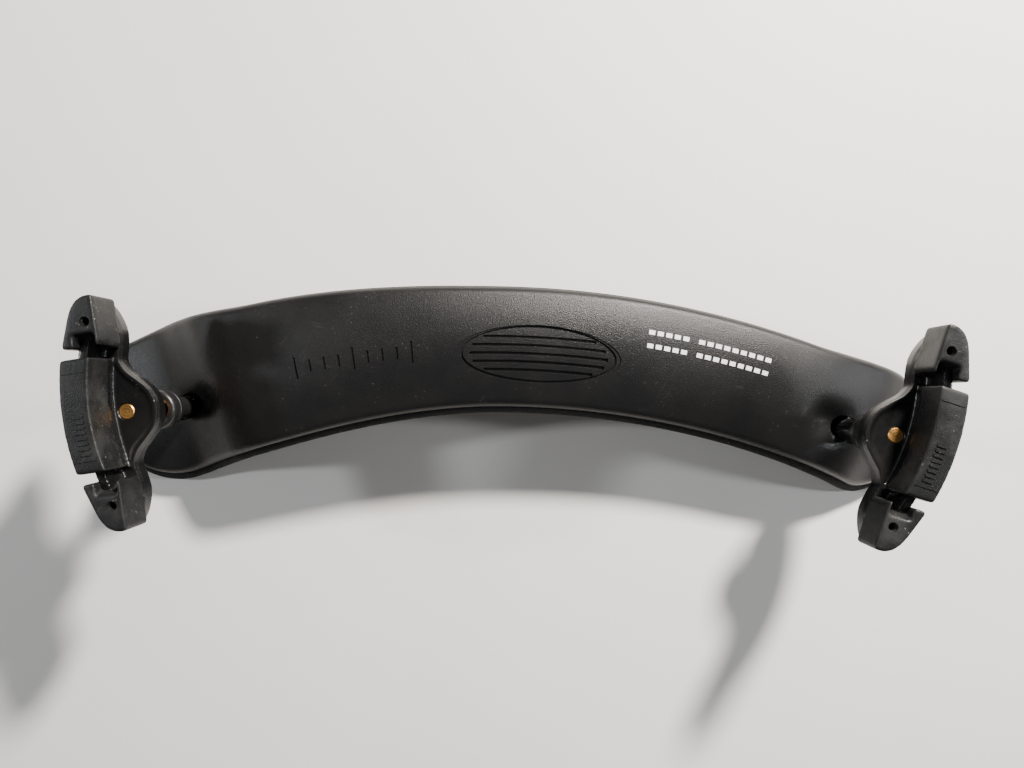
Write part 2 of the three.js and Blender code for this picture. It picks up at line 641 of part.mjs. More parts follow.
// origin: middle of the plan box, on the surface the rest stands on
rest.updateMatrixWorld(true);
const extent = new THREE.Box3().setFromObject(rest, true);
rest.position.set(-(extent.min.x + extent.max.x) / 2, -(extent.min.y + extent.max.y) / 2, -extent.min.z);

export default rest;
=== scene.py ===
# A violin shoulder rest: a moulded, arched body with a foam underside, and two feet on screws.
# Helpers work in millimetres; a mesh becomes metres when it is made.
import json
import math

import bmesh
import bpy
import numpy as np
from mathutils import Matrix, Vector, noise


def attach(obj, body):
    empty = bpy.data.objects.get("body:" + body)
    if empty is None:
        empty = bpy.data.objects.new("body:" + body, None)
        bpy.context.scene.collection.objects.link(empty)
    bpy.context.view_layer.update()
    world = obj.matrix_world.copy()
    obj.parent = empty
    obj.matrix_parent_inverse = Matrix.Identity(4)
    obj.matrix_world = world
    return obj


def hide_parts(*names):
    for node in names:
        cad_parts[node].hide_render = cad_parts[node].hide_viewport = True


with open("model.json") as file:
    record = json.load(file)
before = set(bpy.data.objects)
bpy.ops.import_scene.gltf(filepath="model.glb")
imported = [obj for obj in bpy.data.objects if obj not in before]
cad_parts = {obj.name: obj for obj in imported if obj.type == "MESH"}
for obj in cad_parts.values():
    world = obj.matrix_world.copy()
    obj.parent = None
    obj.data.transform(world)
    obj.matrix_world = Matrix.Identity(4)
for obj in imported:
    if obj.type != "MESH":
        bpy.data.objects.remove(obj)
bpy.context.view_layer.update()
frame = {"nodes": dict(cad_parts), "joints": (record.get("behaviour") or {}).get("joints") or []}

# ---- sizes of the frame, in millimetres and degrees ----
MM = 0.001
CUT_PAST = 1  # how far a cutter runs past the face it opens
PLAN_RADIUS = 275
LEFT_REACH = 122
RIGHT_REACH = 134
HALF_WIDTH = 17
TAPER, TAPER_FULL, TAPER_START = 3.3, 41, 126
LEFT_LOBE, LEFT_LOBE_FULL, LEFT_LOBE_START = 4, 23, 58
RIGHT_LOBE, RIGHT_LOBE_FULL, RIGHT_LOBE_START = 3.6, 8, 42
CORNER = (16, 14)
LONG_CORNER = (19.5, 22)
CROWN = 2.5
SHELL_THICKNESS = 3.5
SHELL_RIM = 2
FOAM_GAP = 0.1  # under the shell, here
FOAM_TOP_DROP = 1  # under the shell, in the frame: the foam's underside is measured from it
FOAM_THICKNESS = 6
FOAM_RIM = 1.9
FOAM_FLARE_CONVEX = 0.7
FOAM_FLARE_CONCAVE = 1.9
LEFT_PROFILE = [
    (0, 8.8), (10, 10.4), (25, 14.4), (34, 21.4), (42, 28), (52, 31.8), (77, 33.6), (102, 33.6),
]
RIGHT_PROFILE = [
    (0, 8.6), (7, 10.6), (18, 17.7), (30, 22.3), (38, 24.1), (48, 25.2), (74, 27.5), (104, 30.3), (134, 32.6),
]
VALLEY_DEPTH, VALLEY_BELOW, VALLEY_SPREAD = 3.6, 0.5, 4.6
VALLEY_EDGE, VALLEY_FULL, VALLEY_START, VALLEY_END = -1, 5, 9, 17
SLOPE_SPAN = 6
KNUCKLE_RADIUS = 3.2
BOSS_LENGTH, BOSS_WIDTH, BOSS_HEIGHT, BOSS_INSET, BOSS_FLOOR = 13, 25, 7, 0.6, -30
BOSS_BOTTOM = -3.5
PIN_BORE, PIN_CHANNEL_HALF = 1.8, 7.3
COVER_TOP, COVER_BOTTOM, COVER_HOLE = -3.8, -5.2, 1.3
COVER_SCREW_ACROSS, COVER_SCREW_BORE, COVER_SCREW_DEPTH = 10, 1.4, 2.8
STEM_RADIUS = 3.3
SLOT_HALF = 3.6
COLLAR_RADIUS = 5.5
LEG_HEIGHT = 23
SCREW_RADIUS, SCREW_LENGTH = 2, 25.5
PLATE_THICKNESS, SKIRT_HEIGHT, SKIRT_WALL, PLATE_EDGE = 2.2, 4.6, 1.3, 1.4
HUB_RADIUS, HUB_HEIGHT = 4.6, 7
ARM_REACH, ARM_RADIUS, ARM_HALF_SPAN = 6.3, 61, 25
ARM_THICKNESS, ARM_HEIGHT, ARM_MARGIN = 2.2, 8.5, 3.9
BELL = [(-6.8, 0), (-5.9, 3.8), (-3.3, 6.8), (-0.6, 9.6)]
WING = [(0.9, 13.2), (0.2, 17), (-0.2, 21), (1, 25.2), (2.6, 27.9)]
PAD_HALF_LENGTH, PAD_HALF_WIDTH, PAD_HEIGHT = 14, 3.5, 12.4
CAP_START, CAP_FAR, CAP_INNER, CAP_HEIGHT = 16.4, 29, -1.6, 11.8
CAP_SHOULDER, CAP_CORNER, CAP_BEAD = 7.5, 3.2, 0.8
CAP_SCOOP, CAP_SCOOP_FLOOR, CAP_SCOOP_INNER, CAP_SCOOP_OUTER = 3.4, 2.5, 0.8, 2.2
INSERT_TOP, INSERT_LOW = 20, 15
SIDES = {
    # turn: how the fork is set at rest; lean: how far the leg leans inwards from upright at most
    "left": {"station": -LEFT_REACH + 27, "across": -1.6, "outward": -1, "turn": -11.3, "lean": 18},
    "right": {"station": RIGHT_REACH - 23.4, "across": -2.8, "outward": 1, "turn": 4.6, "lean": 22},
}


# ---- the body's surface ----
def smoothstep(start, end, value):
    k = np.clip((value - start) / (end - start), 0, 1)
    return k * k * (3 - 2 * k)


PROFILE = np.array(
    [(d - LEFT_REACH, h) for d, h in LEFT_PROFILE]
    + [(RIGHT_REACH - d, h) for d, h in RIGHT_PROFILE][::-1],
    float,
)


def arch_height(station):
    s, z = PROFILE[:, 0], PROFILE[:, 1]
    last = len(s) - 1
    before = np.maximum(np.arange(last + 1) - 1, 0)
    after = np.minimum(np.arange(last + 1) + 1, last)
    slope = (z[after] - z[before]) / (s[after] - s[before])
    i = np.clip(np.searchsorted(s, station, side="left") - 1, 0, last - 1)
    span = s[i + 1] - s[i]
    k = (station - s[i]) / span
    rise = k * k * (3 - 2 * k)
    bend = slope[i] * k * (1 - k) ** 2 - slope[i + 1] * k * k * (1 - k)
    return z[i] * (1 - rise) + z[i + 1] * rise + span * bend


def half_width(station, side):
    width = HALF_WIDTH + TAPER * (1 - smoothstep(TAPER_FULL, TAPER_START, station + LEFT_REACH))
    lobes = LEFT_LOBE * (1 - smoothstep(LEFT_LOBE_FULL, LEFT_LOBE_START, station + LEFT_REACH))
    from_right = RIGHT_REACH - station
    lobes = lobes + RIGHT_LOBE * (1 - smoothstep(RIGHT_LOBE_FULL, RIGHT_LOBE_START, from_right))
    return width + np.where(side > 0, lobes, 0)


def valley(station, across):
    depth = 0
    for side in SIDES.values():
        inboard = (side["station"] - station) * side["outward"]
        along = smoothstep(VALLEY_EDGE, VALLEY_FULL, inboard)
        along = along * (1 - smoothstep(VALLEY_START, VALLEY_END, inboard))
        spread = np.exp(-(((across - side["across"]) / VALLEY_SPREAD) ** 2))
        depth = depth + VALLEY_DEPTH * along * spread
    return depth


def skin_height(station, across):
    share = across / half_width(station, across)
    return arch_height(station) - CROWN * share * share - valley(station, across)


def shell_bottom(station, across):
    return skin_height(station, across) + (1 - VALLEY_BELOW) * valley(station, across) - SHELL_THICKNESS


def rounding(radius, distance):
    inside = np.clip(radius - distance, 0, radius)
    return radius - np.sqrt(radius * radius - inside * inside)


def plan_point(station, across):
    angle = station / PLAN_RADIUS
    radius = PLAN_RADIUS + across
    return radius * np.sin(angle), radius * np.cos(angle) - PLAN_RADIUS


# the frame's own origin, found from a hinge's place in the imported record
joints = {j["name"]: j for j in frame["joints"]}
pin_x, pin_y = plan_point(SIDES["left"]["station"], SIDES["left"]["across"])
left_pin = [v / MM for v in joints["left_leg_tilt"]["pos_m"]]
SHIFT = (left_pin[0] - float(pin_x), left_pin[1] - float(pin_y))


def on_body(station, across, height=None):
    x, y = plan_point(station, across)
    z = skin_height(station, across) if height is None else height
    return Vector((float(x) + SHIFT[0], float(y) + SHIFT[1], float(z)))


# ---- mesh helpers ----
def mesh_from(name, points, faces):
    mesh = bpy.data.meshes.new(name)
    mesh.from_pydata([(p[0] * MM, p[1] * MM, p[2] * MM) for p in points], [], faces)
    mesh.update()
    return mesh


def object_from(name, mesh):
    made = bpy.data.objects.new(name, mesh)
    bpy.context.scene.collection.objects.link(made)
    return made


def applied(obj):
    """Makes the object's modifiers part of its mesh."""
    depsgraph = bpy.context.evaluated_depsgraph_get()
    mesh = bpy.data.meshes.new_from_object(obj.evaluated_get(depsgraph))
    old = obj.data
    obj.modifiers.clear()
    obj.data = mesh
    mesh.name = obj.name
    bpy.data.meshes.remove(old)
    return obj


def combine(obj, mesh, operation):
    """Joins, cuts or meets obj with the mesh."""
    tool = object_from("tool", mesh)
    modifier = obj.modifiers.new("combine", "BOOLEAN")
    modifier.operation = operation
    modifier.solver = "MANIFOLD"
    modifier.object = tool
    applied(obj)
    bpy.data.objects.remove(tool)
    bpy.data.meshes.remove(mesh)
    return obj


def cut(obj, *meshes):
    for mesh in meshes:
        combine(obj, mesh, "DIFFERENCE")
    return obj


def join(obj, *meshes):
    for mesh in meshes:
        combine(obj, mesh, "UNION")
    return obj


SMOOTH_SHARE = 0.5


def remeshed(obj, voxel, passes):
    """Even quads with softened edges, for moulded rubber and plastic."""
    modifier = obj.modifiers.new("even", "REMESH")
    modifier.mode = "VOXEL"
    modifier.voxel_size = voxel * MM
    soft = obj.modifiers.new("soften", "SMOOTH")
    soft.factor = SMOOTH_SHARE
    soft.iterations = passes
    return applied(obj)


def shade(obj, degrees=38):
    """Smooth shading, with creases left sharp."""
    work = bmesh.new()
    work.from_mesh(obj.data)
    limit = math.radians(degrees)
    for face in work.faces:
        face.smooth = True
    for edge in work.edges:
        edge.smooth = len(edge.link_faces) == 2 and edge.calc_face_angle(0) < limit
    work.to_mesh(obj.data)
    work.free()
    return obj


def prism(outline, z0, z1, matrix=None):
    """Upright prism over an outline that runs anticlockwise."""
    count = len(outline)
    points = [Vector((x, y, z)) for z in (z0, z1) for x, y in outline]
    if matrix is not None:
        points = [matrix @ p for p in points]
    faces = [tuple(range(count))[::-1], tuple(range(count, 2 * count))]
    faces += [(i, (i + 1) % count, (i + 1) % count + count, i + count) for i in range(count)]
    return mesh_from("prism", points, faces)


def block(x0, x1, y0, y1, z0, z1, matrix=None):
    return prism([(x0, y0), (x1, y0), (x1, y1), (x0, y1)], z0, z1, matrix)


def lathe(profile, sides=72, matrix=None, x=0, y=0):
    """Solid of revolution about z. The (radius, height) points run upwards from axis to axis."""
    points, faces, rings = [], [], []
    for radius, height in profile:
        if radius == 0:
            rings.append([len(points)])
            points.append(Vector((x, y, height)))
            continue
        rings.append(list(range(len(points), len(points) + sides)))
        for k in range(sides):
            angle = 2 * math.pi * k / sides
            points.append(Vector((x + radius * math.cos(angle), y + radius * math.sin(angle), height)))
    for low, high in zip(rings, rings[1:]):
        for k in range(sides):
            n = (k + 1) % sides
            if len(low) == 1:
                faces.append((low[0], high[n], high[k]))
            elif len(high) == 1:
                faces.append((low[k], low[n], high[0]))
            else:
                faces.append((low[k], low[n], high[n], high[k]))
    if matrix is not None:
        points = [matrix @ p for p in points]
    return mesh_from("lathe", points, faces)


def rod(radius, z0, z1, matrix=None, y=0):
    return lathe([(0, z0), (radius, z0), (radius, z1), (0, z1)], 48, matrix, 0, y)


ALONG_Y = Matrix.Rotation(math.radians(90), 4, "X")


def placed(mesh, matrix):
    """A copy of a mesh in metres, moved by a frame in millimetres."""
    made = mesh.copy()
    metres = Matrix.Translation(matrix.translation * MM) @ matrix.to_3x3().to_4x4()
    made.transform(metres)
    if metres.determinant() < 0:
        made.flip_normals()
    return made


# ---- sheets that follow the body ----
def graded(length, near, step):
    """Shares of a length: the near distances from both ends, and even steps between them."""
    start, end = near[-1], length - near[-1]
    inner = np.linspace(start, end, int((end - start) / step) + 1)
    return np.concatenate([near[:-1], inner, length - np.array(near[:-1])[::-1]]) / length


def edge_distance(plan, rim):
    """Distance of each plan point to the closed rim."""
    best = np.full(len(plan), 1e9)
    start, end = rim, np.roll(rim, -1, axis=0)
    for a, b in zip(start, end):
        d = b - a
        k = np.clip(((plan - a) @ d) / max(d @ d, 1e-12), 0, 1)
        best = np.minimum(best, np.hypot(*(plan - a - k[:, None] * d).T))
    return best


def end_pull(tip, side, corner, inset):
    width = half_width(tip, side) - inset
    into = np.clip(((np.abs(side) - 1) * width + corner[0]) / corner[0], 0, 1)
    return inset + corner[1] * rounding(1, 1 - into)


TYPICAL_FLARE = 3  # mean half width beyond HALF_WIDTH, for spacing the lanes


def body_sheet(inset_at, top, bottom, near, step_along, step_across):
    """A closed sheet. top and bottom give heights from (station, across, distance to the edge)."""
    lanes = graded(2 * (HALF_WIDTH + TYPICAL_FLARE), near, step_across) * 2 - 1
    runs = graded(LEFT_REACH + RIGHT_REACH, near, step_along)
    run, side = np.meshgrid(runs, lanes, indexing="ij")
    inset = inset_at(side)
    long_pull = end_pull(-LEFT_REACH, side, LONG_CORNER, inset)
    short_pull = end_pull(-LEFT_REACH, side, CORNER, inset)
    left = -LEFT_REACH + np.where(side < 0, long_pull, short_pull)
    right = RIGHT_REACH - end_pull(RIGHT_REACH, side, CORNER, inset)
    station = left + (right - left) * run
    across = side * (half_width(station, side) - inset)
    x, y = plan_point(station, across)
    rows, columns = x.shape
    index = np.arange(rows * columns).reshape(rows, columns)
    loop = np.concatenate([index[0, :-1], index[:-1, -1], index[-1, :0:-1], index[:0:-1, 0]])
    plan = np.stack([x.ravel(), y.ravel()], axis=1)
    edge = edge_distance(plan, plan[loop]).reshape(rows, columns)
    high = top(station, across, edge)
    low = bottom(station, across, edge)
    both = [np.stack([x + SHIFT[0], y + SHIFT[1], z], axis=-1).reshape(-1, 3) for z in (high, low)]
    points = np.concatenate(both)
    under = rows * columns
    faces = []
    for i in range(rows - 1):
        for j in range(columns - 1):
            a, b, c, d = index[i, j], index[i + 1, j], index[i + 1, j + 1], index[i, j + 1]
            faces.append((a, b, c, d))
            faces.append((a + under, d + under, c + under, b + under))
    for a, b in zip(loop, np.roll(loop, -1)):
        faces.append((a, b, b + under, a + under))
    return mesh_from("sheet", points.tolist(), [tuple(int(v) for v in f) for f in faces])


# ---- frames of the hinges, legs and feet ----
def axes(origin, x, y, z):
    made = Matrix((x, y, z)).transposed().to_4x4()
    made.translation = origin
    return made


def side_frames(name):
    """Frames of one side, all with x outwards and y across.

    The hinge's is upright, the boss's follows the body's slope, and the leg's and the foot's
    follow the screw.
    """
    side = SIDES[name]
    tilt, height, turn = (joints[f"{name}_{k}"] for k in ("leg_tilt", "height", "turn"))
    pin = Vector(tilt["pos_m"]) / MM
    across = -Vector(tilt["axis"]).normalized()
    up = Vector((0, 0, 1))
    hinge = axes(pin, across.cross(up), across, up)
    ends = [side["station"] + half * SLOPE_SPAN / 2 for half in (-1, 1)]
    rise = arch_height(ends[1]) - arch_height(ends[0])
    fall = math.atan(-side["outward"] * float(rise) / SLOPE_SPAN)
    boss = hinge @ Matrix.Rotation(fall, 4, "Y")
    screw_up = Vector(height["axis"]).normalized()
    leg = axes(pin, across.cross(screw_up), across, screw_up)
    foot = axes(Vector(turn["pos_m"]) / MM, across.cross(screw_up), across, screw_up)
    foot = foot @ Matrix.Rotation(math.radians(side["turn"]), 4, "Z")
    return {"hinge": hinge, "boss": boss, "leg": leg, "foot": foot}


FRAMES = {name: side_frames(name) for name in SIDES}


# ---- surface effects shared by several materials ----
def new_group(name, inputs, outputs):
    tree = bpy.data.node_groups.new(name, "ShaderNodeTree")
    for label, value in inputs:
        socket = tree.interface.new_socket(label, in_out="INPUT", socket_type="NodeSocketFloat")
        socket.default_value = value
    for label in outputs:
        tree.interface.new_socket(label, in_out="OUTPUT", socket_type="NodeSocketFloat")
    start = tree.nodes.new("NodeGroupInput")
    end = tree.nodes.new("NodeGroupOutput")
    return tree, start.outputs, end.inputs


def node(tree, kind, settings=None, **inputs):
    """A node with its inputs linked or set. i0, i1 and so on name a socket by its place."""
    made = tree.nodes.new(kind)
    for key, value in (settings or {}).items():
        setattr(made, key, value)
    for key, value in inputs.items():
        numbered = key[0] == "i" and key[1:].isdigit()
        socket = made.inputs[int(key[1:]) if numbered else key.replace("_", " ")]
        if isinstance(value, bpy.types.NodeSocket):
            tree.links.new(value, socket)
        else:
            socket.default_value = value
    return made


def arithmetic(tree, operation, a, b=0.0, c=0.0):
    return node(tree, "ShaderNodeMath", {"operation": operation}, i0=a, i1=b, i2=c).outputs[0]


def ramp(tree, value, low, high):
    return node(tree, "ShaderNodeMapRange", {"interpolation_type": "SMOOTHSTEP"}, Value=value,
                From_Min=low, From_Max=high).outputs[0]


def place_of(tree):
    return tree.nodes.new("ShaderNodeTexCoord").outputs["Object"]


def noise_value(tree, scale, detail=2.0, roughness=0.5, stretch=None, turn=(0, 0, 0)):
    coordinates = place_of(tree)
    if stretch:
        turned = node(tree, "ShaderNodeMapping", Vector=coordinates, Rotation=turn).outputs[0]
        coordinates = node(tree, "ShaderNodeMapping", Vector=turned, Scale=stretch).outputs[0]
    return node(tree, "ShaderNodeTexNoise", Vector=coordinates, Scale=scale, Detail=detail,
                Roughness=roughness).outputs[0]


def make_grain():
    """Spark-eroded mould texture: rounded grains with a finer sand between them."""
    tree, inputs, outputs = new_group("moulded_grain", [("Scale", 2600.0), ("Sand", 0.4)], ["Height"])
    cells = node(tree, "ShaderNodeTexVoronoi", {"feature": "SMOOTH_F1"}, Vector=place_of(tree),
                 Scale=inputs["Scale"], Smoothness=0.7)
    fine = arithmetic(tree, "MULTIPLY", inputs["Scale"], 2.3)
    sand = noise_value(tree, fine, 2.0, 0.6)
    mixed = arithmetic(tree, "MULTIPLY_ADD", sand, inputs["Sand"], cells.outputs["Distance"])
    tree.links.new(mixed, outputs["Height"])
    return tree


def make_patches():
    """Slow unevenness of a handled surface, from 0 to 1."""
    settings = [("Scale", 60.0), ("Low", 0.35), ("High", 0.7)]
    tree, inputs, outputs = new_group("handled_patches", settings, ["Mask"])
    broad = noise_value(tree, inputs["Scale"], 4.0, 0.6)
    tree.links.new(ramp(tree, broad, inputs["Low"], inputs["High"]), outputs["Mask"])
    return tree


def make_scuffs():
    """Short fine scratches that cross each other."""
    tree, inputs, outputs = new_group("fine_scuffs", [("Scale", 900.0), ("Amount", 0.5)], ["Mask"])
    one = noise_value(tree, inputs["Scale"], 2.0, 0.5, (1.0, 0.1, 0.4), (0.3, 0.2, 0.6))
    two = noise_value(tree, inputs["Scale"], 2.0, 0.5, (0.12, 1.0, 0.4), (-0.2, 0.3, 0.25))
    where = noise_value(tree, 70.0, 3.0, 0.6)
    first = ramp(tree, one, 0.66, 0.74)
    second = ramp(tree, two, 0.68, 0.75)
    both = arithmetic(tree, "MAXIMUM", first, second)
    patchy = arithmetic(tree, "MULTIPLY", both, ramp(tree, where, 0.42, 0.62))
    tree.links.new(arithmetic(tree, "MULTIPLY", patchy, inputs["Amount"]), outputs["Mask"])
    return tree


def make_dust():
    """Specks of light dust."""
    tree, inputs, outputs = new_group("dust_specks", [("Scale", 420.0), ("Amount", 0.5)], ["Mask"])
    cells = node(tree, "ShaderNodeTexVoronoi", {"feature": "F1"}, Vector=place_of(tree),
                 Scale=inputs["Scale"])
    speck = ramp(tree, cells.outputs["Distance"], 0.16, 0.05)
    where = ramp(tree, noise_value(tree, 150.0, 3.0, 0.6), 0.5, 0.66)
    kept = arithmetic(tree, "MULTIPLY", speck, where)
    tree.links.new(arithmetic(tree, "MULTIPLY", kept, inputs["Amount"]), outputs["Mask"])
    return tree


GRAIN, PATCHES, SCUFFS, DUST = make_grain(), make_patches(), make_scuffs(), make_dust()


class Finish:
    """A material with one Principled shader, whose parts are added one by one."""

    def __init__(self, name, **constants):
        self.material = bpy.data.materials.new(name)
        self.material.use_nodes = True
        self.tree = self.material.node_tree
        self.shader = self.tree.nodes["Principled BSDF"]
        for key, value in constants.items():
            self.shader.inputs[key.replace("_", " ")].default_value = value

    def use(self, group, **inputs):
        made = self.tree.nodes.new("ShaderNodeGroup")
        made.node_tree = group
        for key, value in inputs.items():
            made.inputs[key].default_value = value
        return made.outputs[0]

    def colour(self, base, *layers):
        """layers: (mask, colour), each over the one before."""
        current = base
        for mask, tint in layers:
            mix = self.tree.nodes.new("ShaderNodeMix")
            mix.data_type = "RGBA"
            self.tree.links.new(mask, mix.inputs[0])
            if isinstance(current, tuple):
                mix.inputs[6].default_value = (*current, 1)
            else:
                self.tree.links.new(current, mix.inputs[6])
            mix.inputs[7].default_value = (*tint, 1)
            current = mix.outputs[2]
        self.tree.links.new(current, self.shader.inputs["Base Color"])

    def roughness(self, base, *terms):
        """terms: (value, share) added to the base."""
        total = None
        for value, share in terms:
            total = arithmetic(self.tree, "MULTIPLY_ADD", value, share, base if total is None else total)
        self.tree.links.new(total, self.shader.inputs["Roughness"])

    def bump(self, *terms):
        """terms: (height, metres at full height), stacked."""
        normal = None
        for height, distance in terms:
            made = node(self.tree, "ShaderNodeBump", Height=height, Distance=distance, Strength=1.0)
            if normal is not None:
                self.tree.links.new(normal, made.inputs["Normal"])
            normal = made.outputs[0]
        self.tree.links.new(normal, self.shader.inputs["Normal"])


def make_shell_plastic():
    f = Finish("shell_plastic", Specular_IOR_Level=0.27)
    grain = f.use(GRAIN, Scale=3400.0, Sand=0.9)
    patches = f.use(PATCHES, Scale=38.0, Low=0.3, High=0.75)
    scuffs = f.use(SCUFFS, Scale=1100.0, Amount=0.2)
    dust = f.use(DUST, Scale=620.0, Amount=0.4)
    f.colour((0.0055, 0.0055, 0.006), (patches, (0.0085, 0.0083, 0.0082)), (scuffs, (0.04, 0.04, 0.04)),
             (dust, (0.1, 0.095, 0.09)))
    f.roughness(0.2, (patches, 0.07), (grain, 0.12), (scuffs, 0.12), (dust, 0.3))
    f.bump((grain, 0.000045), (noise_value(f.tree, 60.0, 2.0), 0.00005))
    return f.material


def make_foam_finish():
    f = Finish("closed_cell_foam", Specular_IOR_Level=0.25)
    cells = f.use(GRAIN, Scale=1500.0, Sand=0.9)
    patches = f.use(PATCHES, Scale=55.0, Low=0.3, High=0.7)
    dust = f.use(DUST, Scale=380.0, Amount=0.8)
    f.colour((0.009, 0.009, 0.0094), (patches, (0.017, 0.0165, 0.016)), (dust, (0.11, 0.1, 0.09)))
    f.roughness(0.78, (patches, 0.12), (cells, 0.1))
    f.bump((cells, 0.00022), (noise_value(f.tree, 260.0, 4.0, 0.65), 0.00025))
    return f.material


def make_fork_plastic():
    f = Finish("gloss_nylon", Specular_IOR_Level=0.45)
    grain = f.use(GRAIN, Scale=5200.0, Sand=0.7)
    patches = f.use(PATCHES, Scale=75.0, Low=0.35, High=0.7)
    scuffs = f.use(SCUFFS, Scale=1500.0, Amount=0.35)
    dust = f.use(DUST, Scale=620.0, Amount=0.6)
    f.colour((0.0028, 0.0028, 0.0031), (patches, (0.005, 0.005, 0.005)), (scuffs, (0.03, 0.03, 0.03)),
             (dust, (0.15, 0.14, 0.12)))
    f.roughness(0.22, (patches, 0.1), (scuffs, 0.2), (grain, 0.05), (dust, 0.4))
    f.bump((grain, 0.000008), (noise_value(f.tree, 130.0, 2.0), 0.00010))
    return f.material


def make_leg_plastic():
    f = Finish("leg_nylon", Specular_IOR_Level=0.5)
    grain = f.use(GRAIN, Scale=4200.0, Sand=0.7)
    patches = f.use(PATCHES, Scale=90.0, Low=0.35, High=0.7)
    scuffs = f.use(SCUFFS, Scale=1700.0, Amount=0.6)
    f.colour((0.0065, 0.0065, 0.007), (patches, (0.011, 0.011, 0.011)), (scuffs, (0.035, 0.035, 0.035)))
    f.roughness(0.24, (patches, 0.12), (scuffs, 0.2), (grain, 0.06))
    f.bump((grain, 0.000012), (noise_value(f.tree, 150.0, 2.0), 0.00006))
    return f.material


def make_pad_rubber():
    f = Finish("pad_rubber", Specular_IOR_Level=0.26)
    grain = f.use(GRAIN, Scale=3300.0, Sand=0.8)
    bloom = f.use(PATCHES, Scale=120.0, Low=0.4, High=0.72)
    scuffs = f.use(SCUFFS, Scale=1300.0, Amount=0.55)
    dust = f.use(DUST, Scale=700.0, Amount=0.8)
    f.colour((0.0062, 0.0064, 0.0068), (bloom, (0.017, 0.017, 0.0168)), (scuffs, (0.05, 0.05, 0.048)),
             (dust, (0.17, 0.16, 0.14)))
    f.roughness(0.32, (bloom, 0.2), (grain, 0.1), (scuffs, 0.15))
    f.bump((grain, 0.000035), (noise_value(f.tree, 300.0, 3.0, 0.6), 0.00009))
    return f.material


def make_brass():
    f = Finish("turned_brass", Metallic=1.0)
    tarnish = f.use(PATCHES, Scale=420.0, Low=0.35, High=0.7)
    scuffs = f.use(SCUFFS, Scale=2600.0, Amount=0.7)
    f.colour((0.78, 0.43, 0.14), (tarnish, (0.5, 0.25, 0.075)), (scuffs, (0.9, 0.62, 0.3)))
    f.roughness(0.33, (tarnish, 0.2), (scuffs, -0.08))
    f.bump((noise_value(f.tree, 2600.0, 3.0, 0.6), 0.00002))
    return f.material


def make_steel():
    f = Finish("zinc_steel", Metallic=1.0)
    film = f.use(PATCHES, Scale=500.0, Low=0.35, High=0.7)
    scuffs = f.use(SCUFFS, Scale=2400.0, Amount=0.8)
    f.colour((0.46, 0.46, 0.47), (film, (0.3, 0.29, 0.27)), (scuffs, (0.62, 0.62, 0.63)))
    f.roughness(0.3, (film, 0.2), (scuffs, 0.1))
    f.bump((noise_value(f.tree, 2800.0, 3.0, 0.6), 0.000015))
    return f.material


def make_print():
    f = Finish("pad_printed_white", Specular_IOR_Level=0.35)
    thin = f.use(PATCHES, Scale=900.0, Low=0.55, High=0.8)
    grain = f.use(GRAIN, Scale=2400.0, Sand=0.5)
    f.colour((0.72, 0.73, 0.73), (thin, (0.42, 0.43, 0.43)))
    f.roughness(0.5, (thin, 0.15), (grain, 0.1))
    f.bump((grain, 0.00003))
    return f.material


def make_floor_finish():
    f = Finish("pale_floor")
    patches = f.use(PATCHES, Scale=6.0, Low=0.3, High=0.7)
    f.colour((0.66, 0.645, 0.62), (patches, (0.69, 0.675, 0.65)))
    f.roughness(0.6, (patches, 0.06))
    return f.material


SHELL_PLASTIC, FOAM_FINISH, FORK_PLASTIC, LEG_PLASTIC = (
    make_shell_plastic(), make_foam_finish(), make_fork_plastic(), make_leg_plastic(),
)
PAD_RUBBER, BRASS, STEEL, PRINT = make_pad_rubber(), make_brass(), make_steel(), make_print()


def finished(obj, material, body, slot, *nodes, crease=38):
    """Gives a piece its shading and finish, its body, and the nodes that it stands for."""
    shade(obj, crease)
    obj.data.materials.clear()
    obj.data.materials.append(material)
    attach(obj, body)
    if nodes:
        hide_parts(*nodes)
    return obj


# ---- shell: the moulded crescent ----
NEAR_RIM = [0, 0.08, 0.3, 0.65, 1.1, 1.6, 2.2]
RIM_BELOW = 0.5
SHELL_STEP_ALONG, SHELL_STEP_ACROSS = 1.25, 0.8
ROUND_STEPS = 56


def shell_mesh():
    return body_sheet(
        lambda side: 0 * side,
        lambda s, a, edge: skin_height(s, a) - rounding(SHELL_RIM, edge),
        lambda s, a, edge: shell_bottom(s, a) + rounding(RIM_BELOW, edge),
        NEAR_RIM, SHELL_STEP_ALONG, SHELL_STEP_ACROSS,
    )


def envelope_mesh():
    return body_sheet(
        lambda side: BOSS_INSET + 0 * side,
        lambda s, a, edge: skin_height(s, a) - BOSS_INSET,
        lambda s, a, edge: BOSS_FLOOR + 0 * s,
        [0, 1, 2], 2.5, 2,
    )


def leg_room(side, frames):
    """Room for the leg at every lean: the hull of the leg's round stem upright and fully leaned."""
    work = bmesh.new()
    for lean in (0, math.radians(-side["lean"])):
        turned = frames["hinge"] @ Matrix.Rotation(lean, 4, "Y")
        for height in (-SLOT_HALF, LEG_HEIGHT):
            for k in range(ROUND_STEPS):
                angle = 2 * math.pi * k / ROUND_STEPS
                point = turned @ Vector((SLOT_HALF * math.cos(angle), SLOT_HALF * math.sin(angle), height))
                work.verts.new(point * MM)
    found = bmesh.ops.convex_hull(work, input=work.verts)
    bmesh.ops.delete(work, geom=found["geom_interior"] + found["geom_unused"], context="VERTS")
    mesh = bpy.data.meshes.new("room")
    work.to_mesh(mesh)
    work.free()
    return mesh


